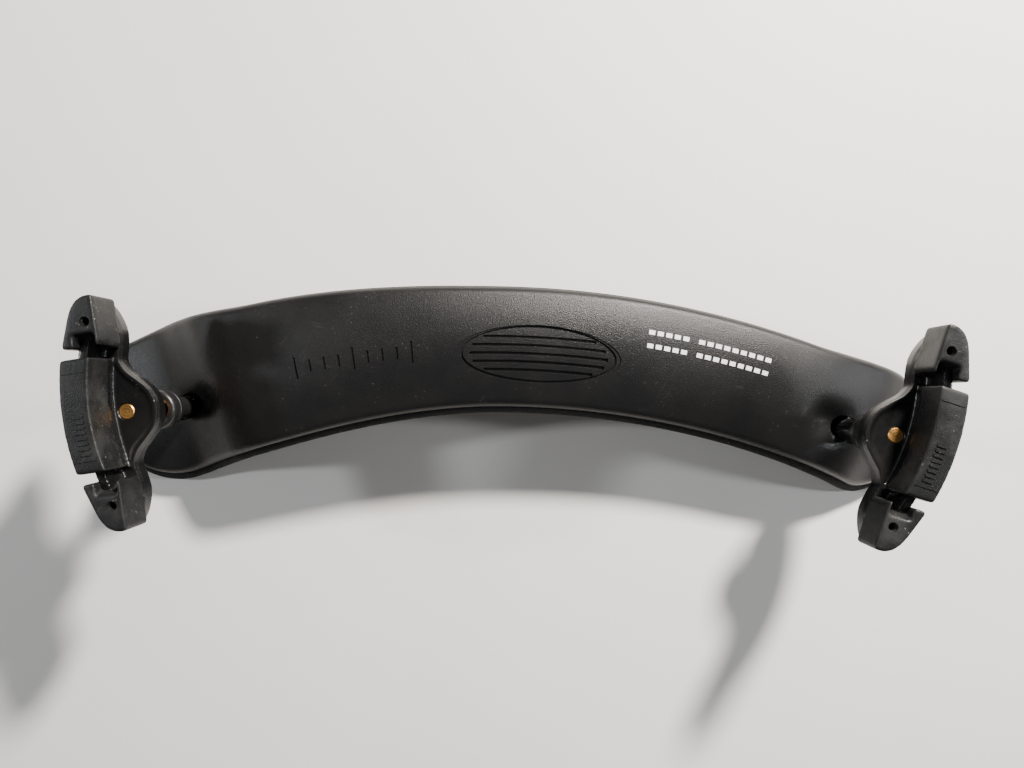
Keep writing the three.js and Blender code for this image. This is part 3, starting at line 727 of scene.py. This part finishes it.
def follow(path, width, above, below, closed=False, draft=1.0):
    """A bar that follows the body along (station, across) points, from above its surface to below it."""
    points, faces = [], []
    count = len(path)
    for i, (station, across) in enumerate(path):
        before = path[i - 1] if closed or i else path[i]
        after = path[(i + 1) % count] if closed or i < count - 1 else path[i]
        along = Vector((after[0] - before[0], after[1] - before[1])).normalized()
        for side, lift, share in ((-1, above, 1), (1, above, 1), (1, -below, draft), (-1, -below, draft)):
            s = station - side * along.y * width / 2 * share
            a = across + side * along.x * width / 2 * share
            point = on_body(s, a)
            point.z += lift
            points.append(point)
    for i in range(count if closed else count - 1):
        a, b = 4 * i, 4 * ((i + 1) % count)
        for k in range(4):
            n = (k + 1) % 4
            faces.append((a + k, b + k, b + n, a + n))
    if not closed:
        faces.append((0, 1, 2, 3))
        end = 4 * (count - 1)
        faces.append((end + 3, end + 2, end + 1, end))
    return points, faces


def bars_mesh(bars):
    """Several closed bars as one mesh with faces that point out."""
    points, faces = [], []
    for bar_points, bar_faces in bars:
        start = len(points)
        points += bar_points
        faces += [tuple(v + start for v in f) for f in bar_faces]
    mesh = mesh_from("bars", points, faces)
    work = bmesh.new()
    work.from_mesh(mesh)
    bmesh.ops.recalc_face_normals(work, faces=work.faces)
    work.to_mesh(mesh)
    work.free()
    return mesh


# the oval panel: its middle, half lengths and depth; its rim groove's place as a share of the oval
PANEL = {"station": 14, "across": -2, "long": 23.5, "wide": 8.2, "depth": 0.3}
PANEL_LIFT = 1.5  # how far its cutter stands out of the shell
RIM_SHARE, RIM_WIDTH, RIM_DEPTH, RIM_DRAFT = 0.93, 0.9, 0.45, 0.55
GROOVES = (-4.6, -2.3, 0, 2.3, 4.6)
GROOVE_REACH, GROOVE_WIDTH, GROOVE_DEPTH, GROOVE_DRAFT, GROOVE_STEPS = 0.84, 1.25, 0.6, 0.6, 24
GROOVE_LIFT = 0.4


def oval(share, steps=120):
    long, wide = share * PANEL["long"], share * PANEL["wide"]
    turns = [2 * math.pi * k / steps for k in range(steps)]
    return [(PANEL["station"] + long * math.cos(t), PANEL["across"] + wide * math.sin(t)) for t in turns]


def panel_recess():
    """The sunk oval panel's cutter."""
    rings = [oval(share) for share in (1, 0.8, 0.6, 0.4, 0.2)]
    steps = len(rings[0])
    points, faces = [], []
    for lift in (PANEL_LIFT, -PANEL["depth"]):
        for ring in rings:
            for s, a in ring:
                point = on_body(s, a)
                point.z += lift
                points.append(point)
    layer = steps * len(rings)
    for k in range(steps):
        n = (k + 1) % steps
        for r in range(len(rings) - 1):
            o, i = r * steps, (r + 1) * steps
            faces.append((o + k, o + n, i + n, i + k))
            faces.append((layer + o + k, layer + i + k, layer + i + n, layer + o + n))
        faces.append((k, layer + k, layer + n, n))
    last = (len(rings) - 1) * steps
    faces.append(tuple(last + k for k in range(steps)))
    faces.append(tuple(layer + last + k for k in range(steps))[::-1])
    return bars_mesh([(points, faces)])


def panel_grooves():
    """Parallel grooves across the oval panel, and one round its edge."""
    depth = PANEL["depth"]
    bars = [follow(oval(RIM_SHARE), RIM_WIDTH, GROOVE_LIFT, depth + RIM_DEPTH, closed=True, draft=RIM_DRAFT)]
    for offset in GROOVES:
        reach = PANEL["long"] * GROOVE_REACH * math.sqrt(1 - (offset / (PANEL["wide"] * RIM_SHARE)) ** 2)
        path = [
            (PANEL["station"] - reach + 2 * reach * k / GROOVE_STEPS, PANEL["across"] + offset)
            for k in range(GROOVE_STEPS + 1)
        ]
        bars.append(follow(path, GROOVE_WIDTH, GROOVE_LIFT, depth + GROOVE_DEPTH, draft=GROOVE_DRAFT))
    return bars_mesh(bars)


TICKS = {"count": 9, "station": -54.5, "step": 4.1, "across": -0.9, "every": 4, "long": 3.1, "short": 1.7}
TICK_WIDTH, TICK_LIFT, TICK_DEPTH, TICK_DRAFT = 0.8, 0.5, 0.38, 0.5
DASH_ROWS = (7.8, 3.9)
DASH_RUNS = ((44.2, 5), (58.6, 9))  # (first station, how many)
DASH_STEP, DASH_LONG, DASH_WIDE, DASH_LIFT, DASH_SINK = 2.45, 1.7, 1.25, 0.03, 0.05


def gauge_ticks():
    """A short engraved scale without figures."""
    bars = []
    middle = TICKS["across"]
    for k in range(TICKS["count"]):
        station = TICKS["station"] + TICKS["step"] * k
        half = TICKS["short"] if k % TICKS["every"] else TICKS["long"]
        path = [(station, middle - half), (station, middle), (station, middle + half)]
        bars.append(follow(path, TICK_WIDTH, TICK_LIFT, TICK_DEPTH, draft=TICK_DRAFT))
    return bars_mesh(bars)


def printed_dashes():
    bars = []
    for across in DASH_ROWS:
        for start, count in DASH_RUNS:
            for k in range(count):
                s = start + DASH_STEP * k
                path = [(s, across), (s + DASH_LONG / 2, across), (s + DASH_LONG, across)]
                bars.append(follow(path, DASH_WIDE, DASH_LIFT, DASH_SINK))
    return bars_mesh(bars)


def boss_block(matrix, margin, z0, z1):
    half_long, half_wide = BOSS_LENGTH / 2 + margin, BOSS_WIDTH / 2 + margin
    return block(-half_long, half_long, -half_wide, half_wide, z0, z1, matrix)


def hinge_cutters(side, at):
    """The leg's room, the pin's channel and the cover's screw holes."""
    below = BOSS_BOTTOM - CUT_PAST
    cutters = [
        leg_room(side, at),
        block(-SLOT_HALF, SLOT_HALF, -SLOT_HALF, SLOT_HALF, below, 0, at["boss"]),
        rod(PIN_BORE, -PIN_CHANNEL_HALF, PIN_CHANNEL_HALF, at["boss"] @ ALONG_Y),
        block(-PIN_BORE, PIN_BORE, -PIN_CHANNEL_HALF, PIN_CHANNEL_HALF, below, 0, at["boss"]),
    ]
    for end in (-1, 1):
        top = BOSS_BOTTOM + COVER_SCREW_DEPTH
        cutters.append(rod(COVER_SCREW_BORE, below, top, at["boss"], end * COVER_SCREW_ACROSS))
    return cutters


SHELL_CREASE = 32

shell = object_from("shell", shell_mesh())
for name, side in SIDES.items():
    at = FRAMES[name]
    boss = object_from("boss", boss_block(at["boss"], 0, BOSS_BOTTOM, BOSS_HEIGHT))
    combine(boss, envelope_mesh(), "INTERSECT")
    solid = boss.data.copy()
    bpy.data.objects.remove(boss)
    join(shell, solid)
    cut(shell, *hinge_cutters(side, at))
cut(shell, panel_recess(), panel_grooves(), gauge_ticks())
finished(shell, SHELL_PLASTIC, "root", "body_plastic", "body_shell", crease=SHELL_CREASE)

dashes = object_from("print_dashes", printed_dashes())
finished(dashes, PRINT, "root", "body_plastic")


# ---- foam under the shell ----
FOAM_RIM_BELOW = 0.6
FOAM_STEP_ALONG, FOAM_STEP_ACROSS = 1.5, 1.1
FOAM_WAVES = 0.16
FOAM_FLAT = 0.4  # below this height the foam stays flat on the floor
FOAM_SLOW, FOAM_QUICK, FOAM_QUICK_SHARE = 0.16, 0.55, 0.4  # the two waves, per millimetre
FOAM_CREASE = 50
FOAM_WINDOW = 0.6  # clear of the boss and its cover
NEAR_FOAM = [0, 0.1, 0.35, 0.7, 1.1, 1.6, 2.2]


def foam_inset(side):
    return -(FOAM_FLARE_CONCAVE + (FOAM_FLARE_CONVEX - FOAM_FLARE_CONCAVE) * (side + 1) / 2)


def foam_bottom(s, a, edge):
    free = shell_bottom(s, a) - FOAM_TOP_DROP - FOAM_THICKNESS
    return np.maximum(0, free) + rounding(FOAM_RIM, edge) * FOAM_RIM_BELOW


def foam_mesh():
    mesh = body_sheet(
        foam_inset,
        lambda s, a, edge: shell_bottom(s, a) - FOAM_GAP - rounding(FOAM_RIM, edge),
        foam_bottom, NEAR_FOAM, FOAM_STEP_ALONG, FOAM_STEP_ACROSS,
    )
    for vertex in mesh.vertices:
        place = vertex.co / MM
        if place.z > FOAM_FLAT:
            wave = noise.noise(place * FOAM_SLOW) + FOAM_QUICK_SHARE * noise.noise(place * FOAM_QUICK)
            vertex.co.z += min(0.0, wave * FOAM_WAVES) * MM
    return mesh


foam = object_from("foam", foam_mesh())
for name in SIDES:
    cut(foam, boss_block(FRAMES[name]["boss"], FOAM_WINDOW, BOSS_FLOOR, BOSS_HEIGHT))
finished(foam, FOAM_FINISH, "root", "foam", "foam_pad", crease=FOAM_CREASE)


# ---- feet, built once in the fork's own frame: x outwards, y across, z = 0 on the plate ----
def arm_x(y, offset=0.0):
    radius = ARM_RADIUS + offset
    return ARM_REACH - ARM_RADIUS + math.sqrt(radius * radius - y * y)


def catmull_rom(t, a, b, c, d):
    square = (2 * a - 5 * b + 4 * c - d) * t * t
    cube = (3 * b - a - 3 * c + d) * t ** 3
    return 0.5 * (2 * b + (c - a) * t + square + cube)


def spline(points, steps):
    """Smooth curve through points, with evenly shared steps."""
    found = []
    last = len(points) - 1
    for k in range(steps + 1):
        at = last * k / steps
        i = min(int(at), last - 1)
        t = at - i
        near = (points[min(max(j, 0), last)] for j in (i - 1, i, i + 1, i + 2))
        found.append(tuple(catmull_rom(t, *four) for four in zip(*near)))
    return found


def plate_outline():
    half = BELL + WING
    inner = spline([(x, -y) for x, y in half[:0:-1]] + half, 72)
    tip = half[-1][1]
    arc = [(arm_x(y, ARM_MARGIN), y) for y in np.linspace(tip, -tip, 40)]
    return (inner + [(float(x), float(y)) for x, y in arc])[::-1]


def inset(outline, wall):
    found = []
    for i, (x, y) in enumerate(outline):
        before, after = outline[i - 1], outline[(i + 1) % len(outline)]
        along = Vector((after[0] - before[0], after[1] - before[1])).normalized()
        found.append((x - along.y * wall, y + along.x * wall))
    return found


def loft(outline, levels):
    """Closed slab from (inset, height) levels of one outline, listed upwards."""
    count = len(outline)
    points, faces = [], []
    for wall, z in levels:
        points += [(x, y, z) for x, y in inset(outline, wall)]
    for level in range(len(levels) - 1):
        for i in range(count):
            n = (i + 1) % count
            a, b = level * count, (level + 1) * count
            faces.append((a + i, a + n, b + n, b + i))
    top = (len(levels) - 1) * count
    faces.append(tuple(range(count))[::-1])
    faces.append(tuple(range(top, top + count)))
    return mesh_from("loft", points, faces)


def arm_band(low, high, y0, y1, z0, z1, steps=24):
    ys = [y0 + (y1 - y0) * k / steps for k in range(steps + 1)]
    outline = [(arm_x(y, high), y) for y in ys] + [(arm_x(y, low), y) for y in ys[::-1]]
    return prism(outline, z0, z1)


LIP_INSET, LIP_HALF, LIP_BOTTOM, LIP_TOP = 0.95, 0.62, -1.4, 0.42
LIP_TO_ARM, LIP_HALF_SPAN = 2.2, 26.4


def lip_mesh(outline):
    """A bead along the plate's inboard edge."""
    line = inset(outline, LIP_INSET)
    inner = [p for p in line if p[0] < arm_x(p[1]) - LIP_TO_ARM and abs(p[1]) < LIP_HALF_SPAN]
    inner.sort(key=lambda p: p[1])
    outer_side, inner_side = [], []
    for i, (x, y) in enumerate(inner):
        before, after = inner[max(i - 1, 0)], inner[min(i + 1, len(inner) - 1)]
        along = Vector((after[0] - before[0], after[1] - before[1])).normalized()
        outer_side.append((x - along.y * LIP_HALF, y + along.x * LIP_HALF))
        inner_side.append((x + along.y * LIP_HALF, y - along.x * LIP_HALF))
    return prism(inner_side + outer_side[::-1], LIP_BOTTOM, LIP_TOP)


LEDGE_TOP = 3.0  # of the fork's ledge under the middle pad's inner face
LEDGE_INNER, LEDGE_OUTER = 0.1 - PAD_HALF_WIDTH, -0.5
PLATE_LEVELS = [  # (inset, height)
    (0.35, -SKIRT_HEIGHT), (0.08, -4.5), (0, -4.2), (0, -1.3), (0.1, -0.8), (0.35, -0.35), (0.75, -0.08),
    (1.2, 0),
]
RIB_NEAR, RIB_FAR, RIB_X0, RIB_X1, RIB_BOTTOM = 3, 24, 0.6, 1.8, -4.1  # stiffening ribs in the hollow
FORK_VOXEL, FORK_PASSES = 0.32, 5
HOLE_CLEAR, HOLE_RIM, HOLE_RIM_DEPTH = 0.03, 0.32, 0.3


def fork_mesh():
    outline = inset(plate_outline(), -PLATE_EDGE)
    root = -PLATE_THICKNESS / 2
    body = object_from("fork_build", loft(outline, PLATE_LEVELS))
    cut(body, prism(inset(outline, SKIRT_WALL), -SKIRT_HEIGHT - CUT_PAST, -PLATE_THICKNESS))
    join(
        body,
        lip_mesh(outline),
        rod(HUB_RADIUS, -HUB_HEIGHT, root),
        arm_band(-ARM_THICKNESS / 2, ARM_THICKNESS / 2, -ARM_HALF_SPAN, ARM_HALF_SPAN, root, ARM_HEIGHT),
        arm_band(LEDGE_INNER, LEDGE_OUTER, -PAD_HALF_LENGTH, PAD_HALF_LENGTH, root, LEDGE_TOP),
    )
    for end in (-1, 1):
        join(body, block(RIB_X0, RIB_X1, *sorted((end * RIB_NEAR, end * RIB_FAR)), RIB_BOTTOM, root))
    remeshed(body, FORK_VOXEL, FORK_PASSES)
    bore = SCREW_RADIUS + HOLE_CLEAR
    mouth = SCREW_RADIUS + HOLE_RIM
    screw_hole = lathe([
        (0, -HUB_HEIGHT - CUT_PAST), (bore, -HUB_HEIGHT - CUT_PAST), (bore, -HOLE_RIM_DEPTH), (mouth, 0.02),
        (mouth, CUT_PAST), (0, CUT_PAST),
    ])
    cut(body, screw_hole)
    mesh = body.data
    bpy.data.objects.remove(body)
    return mesh


PAD_VOXEL, PAD_PASSES = 0.3, 26
PAD_BOTTOM = 0.3
PAD_MIDDLE = 6  # softening lowers the pad's top, and everything above this height is lifted again
RIB_RISE = 0.3  # of the ribs above the pad's top
RIBS = [-9.3 + 1.3 * k for k in range(8)]
RIB_HALF, RIB_INNER, RIB_OUTER, RIB_ROOT, RIB_UNDER = 0.3, 1.7, 0.7, 0.9, 0.03
SEAMS, SEAM_HALF, SEAM_REACH, SEAM_UNDER = (-10.9, 10.6), 0.13, 2.9, 0.12
WALL_SIDE, WALL_HEAD = 0.12, 0.15  # room round the fork's wall inside the rubber


def wall_groove(y0, y1):
    """Room in the rubber for the fork's wall."""
    half = ARM_THICKNESS / 2 + WALL_SIDE
    return arm_band(-half, half, y0, y1, -CUT_PAST, ARM_HEIGHT + WALL_HEAD)


def pad_mesh():
    length, past = PAD_HALF_LENGTH, PAD_HALF_LENGTH + CUT_PAST
    band = arm_band(-PAD_HALF_WIDTH, PAD_HALF_WIDTH, -length, length, PAD_BOTTOM, PAD_HEIGHT)
    pad = object_from("pad_build", band)
    remeshed(pad, PAD_VOXEL, PAD_PASSES)
    high = max(v.co.z for v in pad.data.vertices) / MM
    for vertex in pad.data.vertices:
        if vertex.co.z / MM > PAD_MIDDLE:
            vertex.co.z += (PAD_HEIGHT - RIB_RISE - high) * MM
    cut(pad, wall_groove(-past, past))
    cut(pad, arm_band(-PAD_HALF_WIDTH - CUT_PAST, -1, -past, past, -CUT_PAST, LEDGE_TOP + WALL_HEAD))
    root = PAD_HEIGHT - RIB_ROOT
    for y in RIBS:
        x, top = arm_x(y), PAD_HEIGHT - RIB_UNDER
        join(pad, block(x - RIB_INNER, x + RIB_OUTER, y - RIB_HALF, y + RIB_HALF, root, top))
    for y in SEAMS:
        x, top = arm_x(y), PAD_HEIGHT - SEAM_UNDER
        join(pad, block(x - SEAM_REACH, x + SEAM_REACH, y - SEAM_HALF, y + SEAM_HALF, root, top))
    mesh = pad.data
    bpy.data.objects.remove(pad)
    return mesh


def bend(a, b, c, steps):
    """Points of a quadratic curve from a to c, without a itself."""
    found = []
    for k in range(1, steps + 1):
        t = k / steps
        found.append(tuple((1 - t) ** 2 * p + 2 * t * (1 - t) * q + t * t * r for p, q, r in zip(a, b, c)))
    return found


BEAD_STEPS, CORNER_STEPS = 4, 8
CAP_BOTTOM, CAP_VOXEL, CAP_PASSES = 0.3, 0.28, 34
CAP_HOLE = [  # the small blind hole in a cap's top
    (0, 9.2), (0.75, 9.4), (0.9, 11.2), (1.25, CAP_HEIGHT), (1.25, CAP_HEIGHT + CUT_PAST),
    (0, CAP_HEIGHT + CUT_PAST),
]
CAP_HOLE_OUT, CAP_HOLE_INTO = 1, 6.1


def cap_outline():
    near, far, bead = CAP_START, CAP_FAR, CAP_BEAD

    def outer(y):
        return arm_x(y, PAD_HALF_WIDTH)

    points = [(CAP_INNER, near + bead), (CAP_INNER + bead, near), (outer(near) - bead, near)]
    points += bend(points[-1], (outer(near), near), (outer(near + bead), near + bead), BEAD_STEPS)
    points.append((outer(near + CAP_SHOULDER), near + CAP_SHOULDER))
    points += bend(points[-1], (outer(far - bead), far), (outer(far) - CAP_CORNER, far), CORNER_STEPS)
    points.append((CAP_INNER + bead, far))
    points += bend(points[-1], (CAP_INNER, far), (CAP_INNER, far - bead), BEAD_STEPS)
    return points


def cap_mesh():
    cap = object_from("cap_build", prism(cap_outline(), CAP_BOTTOM, CAP_HEIGHT))
    # the scoop's outline is drawn in y and z, and it is swept along x
    across = Matrix(((0, 0, 1, 0), (1, 0, 0, 0), (0, 1, 0, 0), (0, 0, 0, 1)))
    before, near, back = CAP_START - CUT_PAST, CAP_START, CAP_START + CAP_SCOOP
    above = CAP_HEIGHT + CUT_PAST
    floor = CAP_SCOOP_FLOOR
    scoop = [(before, floor), (near, floor), (back, CAP_HEIGHT), (back, above), (before, above)]
    inner, outer = CAP_INNER + CAP_SCOOP_INNER, arm_x(back, PAD_HALF_WIDTH) - CAP_SCOOP_OUTER
    cut(cap, prism(scoop, inner, outer, across))
    remeshed(cap, CAP_VOXEL, CAP_PASSES)
    cut(cap, wall_groove(before, ARM_HALF_SPAN + WALL_HEAD))
    cut(cap, lathe(CAP_HOLE, 32, None, CAP_HOLE_OUT, CAP_START + CAP_HOLE_INTO))
    mesh = cap.data
    bpy.data.objects.remove(cap)
    return mesh


NECK = [  # (radius, height), downwards: two fine rings turned in the end, then the plain neck
    (0.5, 0.0), (0.62, -0.03), (0.75, 0.0), (1.2, 0.0), (1.32, -0.03), (1.45, 0.0), (1.78, -0.02),
    (SCREW_RADIUS, -0.22), (SCREW_RADIUS, -HUB_HEIGHT + 0.2),
]
THREAD_ROOT, THREAD_PITCH = 1.62, 1.0
TIP_LONG, TIP_OVER_ROOT = 0.6, 0.05  # the turned-down end


def threaded(points_per_turn=40, rings_per_turn=8):
    """The height screw: a plain neck in the fork, then a rounded thread with a turned-down end."""
    rings = [(z, r, 0.0) for r, z in NECK]
    long = SCREW_LENGTH - HUB_HEIGHT
    count = int(long * rings_per_turn)
    for k in range(1, count + 1):
        z = -HUB_HEIGHT - long * k / count
        fade = min(1.0, k / rings_per_turn, (count - k) / rings_per_turn)
        rings.append((z, SCREW_RADIUS, fade))
    points, faces = [Vector((0, 0, 0))], []
    for z, radius, depth in rings:
        for k in range(points_per_turn):
            turn = k / points_per_turn
            phase = (z / THREAD_PITCH - turn) % 1.0
            dip = (1 - abs(2 * phase - 1)) * depth
            r = radius - (radius - THREAD_ROOT) * dip if depth else radius
            if z < -SCREW_LENGTH + TIP_LONG:
                r = min(r, THREAD_ROOT + TIP_OVER_ROOT)
            angle = 2 * math.pi * turn
            points.append(Vector((r * math.cos(angle), r * math.sin(angle), z)))
    for k in range(points_per_turn):
        n = (k + 1) % points_per_turn
        faces.append((0, 1 + k, 1 + n))
        for ring in range(len(rings) - 1):
            a, b = 1 + ring * points_per_turn, 1 + (ring + 1) * points_per_turn
            faces.append((a + k, b + k, b + n, a + n))
    low = 1 + (len(rings) - 1) * points_per_turn
    faces.append(tuple(low + k for k in range(points_per_turn))[::-1])
    return mesh_from("threaded", points, faces)


BARREL_PROFILE = [  # (radius, height): the stem, the flare, the collar with its fine groove, and the mouth
    (0, 0), (STEM_RADIUS, 0), (STEM_RADIUS, 12.4),
    (3.4, 12.9), (3.62, 13.4), (4.0, 14.2), (4.8, 15.8), (5.2, 16.5), (5.4, 17.0),
    (COLLAR_RADIUS, 17.6), (COLLAR_RADIUS, 18.6), (5.36, 18.75), (5.36, 18.95), (COLLAR_RADIUS, 19.1),
    (COLLAR_RADIUS, 21.7), (5.42, 22.15), (5.2, 22.6), (4.85, 22.9), (4.45, LEG_HEIGHT), (4.1, 22.93),
    (3.85, 22.7), (0, 22.7),
]
KNUCKLE_FOOT, KNUCKLE_TRIM = -5, 0.2
PIN_ROOM, SCREW_ROOM, SCREW_ROOM_FLOOR, INSERT_ROOM, INSERT_ROOM_UNDER = 1.55, 2.3, 3, 3.5, 0.3
BARREL_EDGE, BARREL_EDGE_STEPS, BARREL_EDGE_ANGLE = 0.12, 2, 50


def barrel_mesh():
    """The leg's moulded barrel, with the knuckle that turns on the hinge pin."""
    stem, half = STEM_RADIUS, KNUCKLE_RADIUS
    barrel = object_from("barrel_build", lathe(BARREL_PROFILE, 96))
    knuckle = object_from("knuckle", rod(half, -stem, stem, ALONG_Y))
    join(knuckle, block(-half, half, -stem, stem, 0, stem))
    combine(knuckle, rod(stem + KNUCKLE_TRIM, KNUCKLE_FOOT, LEG_HEIGHT), "INTERSECT")
    solid = knuckle.data.copy()
    bpy.data.objects.remove(knuckle)
    join(barrel, solid)
    top = LEG_HEIGHT + CUT_PAST
    cut(
        barrel,
        rod(PIN_ROOM, -stem - CUT_PAST, stem + CUT_PAST, ALONG_Y),
        rod(SCREW_ROOM, SCREW_ROOM_FLOOR, top),
        rod(INSERT_ROOM, INSERT_LOW - INSERT_ROOM_UNDER, top),
    )
    softened = barrel.modifiers.new("edges", "BEVEL")
    softened.width = BARREL_EDGE * MM
    softened.segments = BARREL_EDGE_STEPS
    softened.limit_method = "ANGLE"
    softened.angle_limit = math.radians(BARREL_EDGE_ANGLE)
    applied(barrel)
    mesh = barrel.data
    bpy.data.objects.remove(barrel)
    return mesh


INSERT_RADIUS, INSERT_CHAMFER, INSERT_TOP_CHAMFER = 3.2, 0.2, 0.25
INSERT_BORE, INSERT_MOUTH, INSERT_MOUTH_DEPTH = 2.06, 2.4, 0.3


def insert_mesh():
    """The brass nut in the barrel's mouth, countersunk on top."""
    top, low = INSERT_TOP, INSERT_LOW
    rim = INSERT_RADIUS - INSERT_CHAMFER
    ring = object_from("insert_build", lathe([
        (0, low), (rim, low), (INSERT_RADIUS, low + INSERT_CHAMFER),
        (INSERT_RADIUS, top - INSERT_TOP_CHAMFER), (rim, top), (0, top),
    ]))
    below, above = low - CUT_PAST, top + CUT_PAST
    cut(ring, lathe([
        (0, below), (INSERT_BORE, below), (INSERT_BORE, top - INSERT_MOUTH_DEPTH), (INSERT_MOUTH, top),
        (INSERT_MOUTH, above), (0, above),
    ]))
    mesh = ring.data
    bpy.data.objects.remove(ring)
    return mesh


BOX_CORNER_STEPS, BOX_EDGE_SHARE = 6, 0.3


def rounded_box(half_x, half_y, z0, z1, corner, edge):
    outline = []
    for cx, cy, start in ((1, 1, 0), (-1, 1, 90), (-1, -1, 180), (1, -1, 270)):
        for k in range(BOX_CORNER_STEPS + 1):
            turn = math.radians(start + 90 * k / BOX_CORNER_STEPS)
            outline.append((cx * (half_x - corner) + corner * math.cos(turn),
                            cy * (half_y - corner) + corner * math.sin(turn)))
    eased = edge * BOX_EDGE_SHARE
    return loft(outline, [(edge, z0), (eased, z0 + eased), (0, z0 + edge), (0, z1 - edge),
                          (eased, z1 - eased), (edge, z1)])


COVER_RISE, COVER_CORNER, COVER_EDGE = 0.2, 2.2, 0.35


def cover_mesh():
    """The plate that closes a hinge from below."""
    cover = object_from("cover_build", rounded_box(
        BOSS_LENGTH / 2, BOSS_WIDTH / 2, COVER_BOTTOM, COVER_TOP + COVER_RISE, COVER_CORNER, COVER_EDGE,
    ))
    below, above = COVER_BOTTOM - CUT_PAST, COVER_TOP + CUT_PAST
    for end in (-1, 1):
        cut(cover, rod(COVER_HOLE, below, above, None, end * COVER_SCREW_ACROSS))
    mesh = cover.data
    bpy.data.objects.remove(cover)
    return mesh


COVER_SCREW_GAP = 0.05  # between the head and the cover
COVER_SCREW_PROFILE = [  # (radius, height over the head's seat): the head, the shank and its point
    (0, -1.15), (0.8, -1.1), (1.5, -0.92), (1.9, -0.55), (2, -0.2), (1.95, 0),
    (1.1, 0), (1.1, 3.6), (0.5, 4.2), (0, 4.2),
]
CROSS_HALF_LONG, CROSS_HALF_WIDE, CROSS_FROM, CROSS_TO = 1.05, 0.22, -2, -0.55


def cover_screw_mesh():
    seat = COVER_BOTTOM - COVER_SCREW_GAP
    profile = [(radius, seat + height) for radius, height in COVER_SCREW_PROFILE]
    screw = object_from("screw_build", lathe(profile, 48))
    long, wide = CROSS_HALF_LONG, CROSS_HALF_WIDE
    for turn in (0, 90):
        turned = Matrix.Rotation(math.radians(turn), 4, "Z")
        cut(screw, block(-long, long, -wide, wide, seat + CROSS_FROM, seat + CROSS_TO, turned))
    mesh = screw.data
    bpy.data.objects.remove(screw)
    return mesh


FORK, PAD, CAP, SCREW = fork_mesh(), pad_mesh(), cap_mesh(), threaded()
BARREL, INSERT, COVER, COVER_SCREW = barrel_mesh(), insert_mesh(), cover_mesh(), cover_screw_mesh()
FLIP_Y = Matrix.Diagonal((1, -1, 1, 1))

for name in SIDES:
    at = FRAMES[name]
    foot_body, screw_body, leg_body = f"{name}_foot", f"{name}_screw", f"{name}_leg"
    pad_turn = FLIP_Y if name == "left" else Matrix.Identity(4)
    rows = [
        ("fork_plate", FORK, at["foot"], FORK_PLASTIC, foot_body, "fork_plastic", "fork"),
        ("middle_rubber", PAD, at["foot"] @ pad_turn, PAD_RUBBER, foot_body, "rubber", "middle_pad"),
        ("cap_rubber_a", CAP, at["foot"] @ FLIP_Y, PAD_RUBBER, foot_body, "rubber", "corner_cap_a"),
        ("cap_rubber_b", CAP, at["foot"], PAD_RUBBER, foot_body, "rubber", "corner_cap_b"),
        ("threaded_rod", SCREW, at["foot"], BRASS, screw_body, "brass", "height_screw"),
        ("barrel", BARREL, at["leg"], LEG_PLASTIC, leg_body, "leg_plastic", "leg_barrel"),
        ("brass_nut", INSERT, at["leg"], BRASS, leg_body, "brass", "thread_insert"),
        ("cover", COVER, at["boss"], LEG_PLASTIC, "root", "leg_plastic", "hinge_cover"),
    ]
    for end, label in ((-1, "a"), (1, "b")):
        seat = at["boss"] @ Matrix.Translation((0, end * COVER_SCREW_ACROSS, 0))
        cad_node = f"cover_screw_{label}"
        rows.append((f"cover_fixing_{label}", COVER_SCREW, seat, STEEL, "root", "steel", cad_node))
    for label, mesh, matrix, material, body, slot, cad_node in rows:
        made = object_from(f"{name}_{label}", placed(mesh, matrix))
        finished(made, material, body, slot, f"{name}_{cad_node}")
    pin = frame["nodes"][f"{name}_hinge_pin"]
    pin.data.materials.clear()
    pin.data.materials.append(STEEL)

# ---- floor, light and camera ----
FLOOR_HALF, FLOOR_TOP = 3000, -0.02
AMBIENT = 0.13
FILL_TINT = (0.93, 0.96, 1)
LIGHTS = [  # name, place, target and size in metres, watts, tint
    ("key", (0.303, 0.441, 0.435), (0, 0, 0.02), 0.08, 19.0, (1, 0.95, 0.88)),
    ("left_fill", (-0.74, 0.1, 0.56), (-0.09, 0, 0.02), 0.09, 3.4, FILL_TINT),
    ("right_fill", (0.76, 0.05, 0.44), (0.09, 0, 0.02), 0.09, 3.0, FILL_TINT),
]
SENSOR, LENS = 36, 27.03
CAMERA = (6.24, -10.67, 247)  # from the frame's own origin, looking straight down

corners = [(x * FLOOR_HALF, y * FLOOR_HALF, FLOOR_TOP) for x, y in ((-1, -1), (1, -1), (1, 1), (-1, 1))]
floor = object_from("floor", mesh_from("floor", corners, [(0, 1, 2, 3)]))
floor.data.materials.append(make_floor_finish())

world = bpy.data.worlds.new("studio")
bpy.context.scene.world = world
world.use_nodes = True
background = world.node_tree.nodes["Background"].inputs
background["Color"].default_value = (1, 0.985, 0.96, 1)
background["Strength"].default_value = AMBIENT


def area_light(name, place, target, size, watts, tint):
    lamp = bpy.data.lights.new(name, "AREA")
    lamp.shape = "DISK"
    lamp.size = size
    lamp.energy = watts
    lamp.color = tint
    made = bpy.data.objects.new(name, lamp)
    bpy.context.scene.collection.objects.link(made)
    made.location = place
    made.rotation_euler = (Vector(target) - Vector(place)).to_track_quat("-Z", "Y").to_euler()


for light in LIGHTS:
    area_light(*light)

lens = bpy.data.cameras.new("camera")
camera = bpy.data.objects.new("camera", lens)
bpy.context.scene.collection.objects.link(camera)
lens.sensor_width = SENSOR
lens.lens = LENS
lens.clip_start = 0.01
camera.location = ((SHIFT[0] + CAMERA[0]) * MM, (SHIFT[1] + CAMERA[1]) * MM, CAMERA[2] * MM)
camera.rotation_euler = (0, 0, 0)
bpy.context.scene.camera = camera
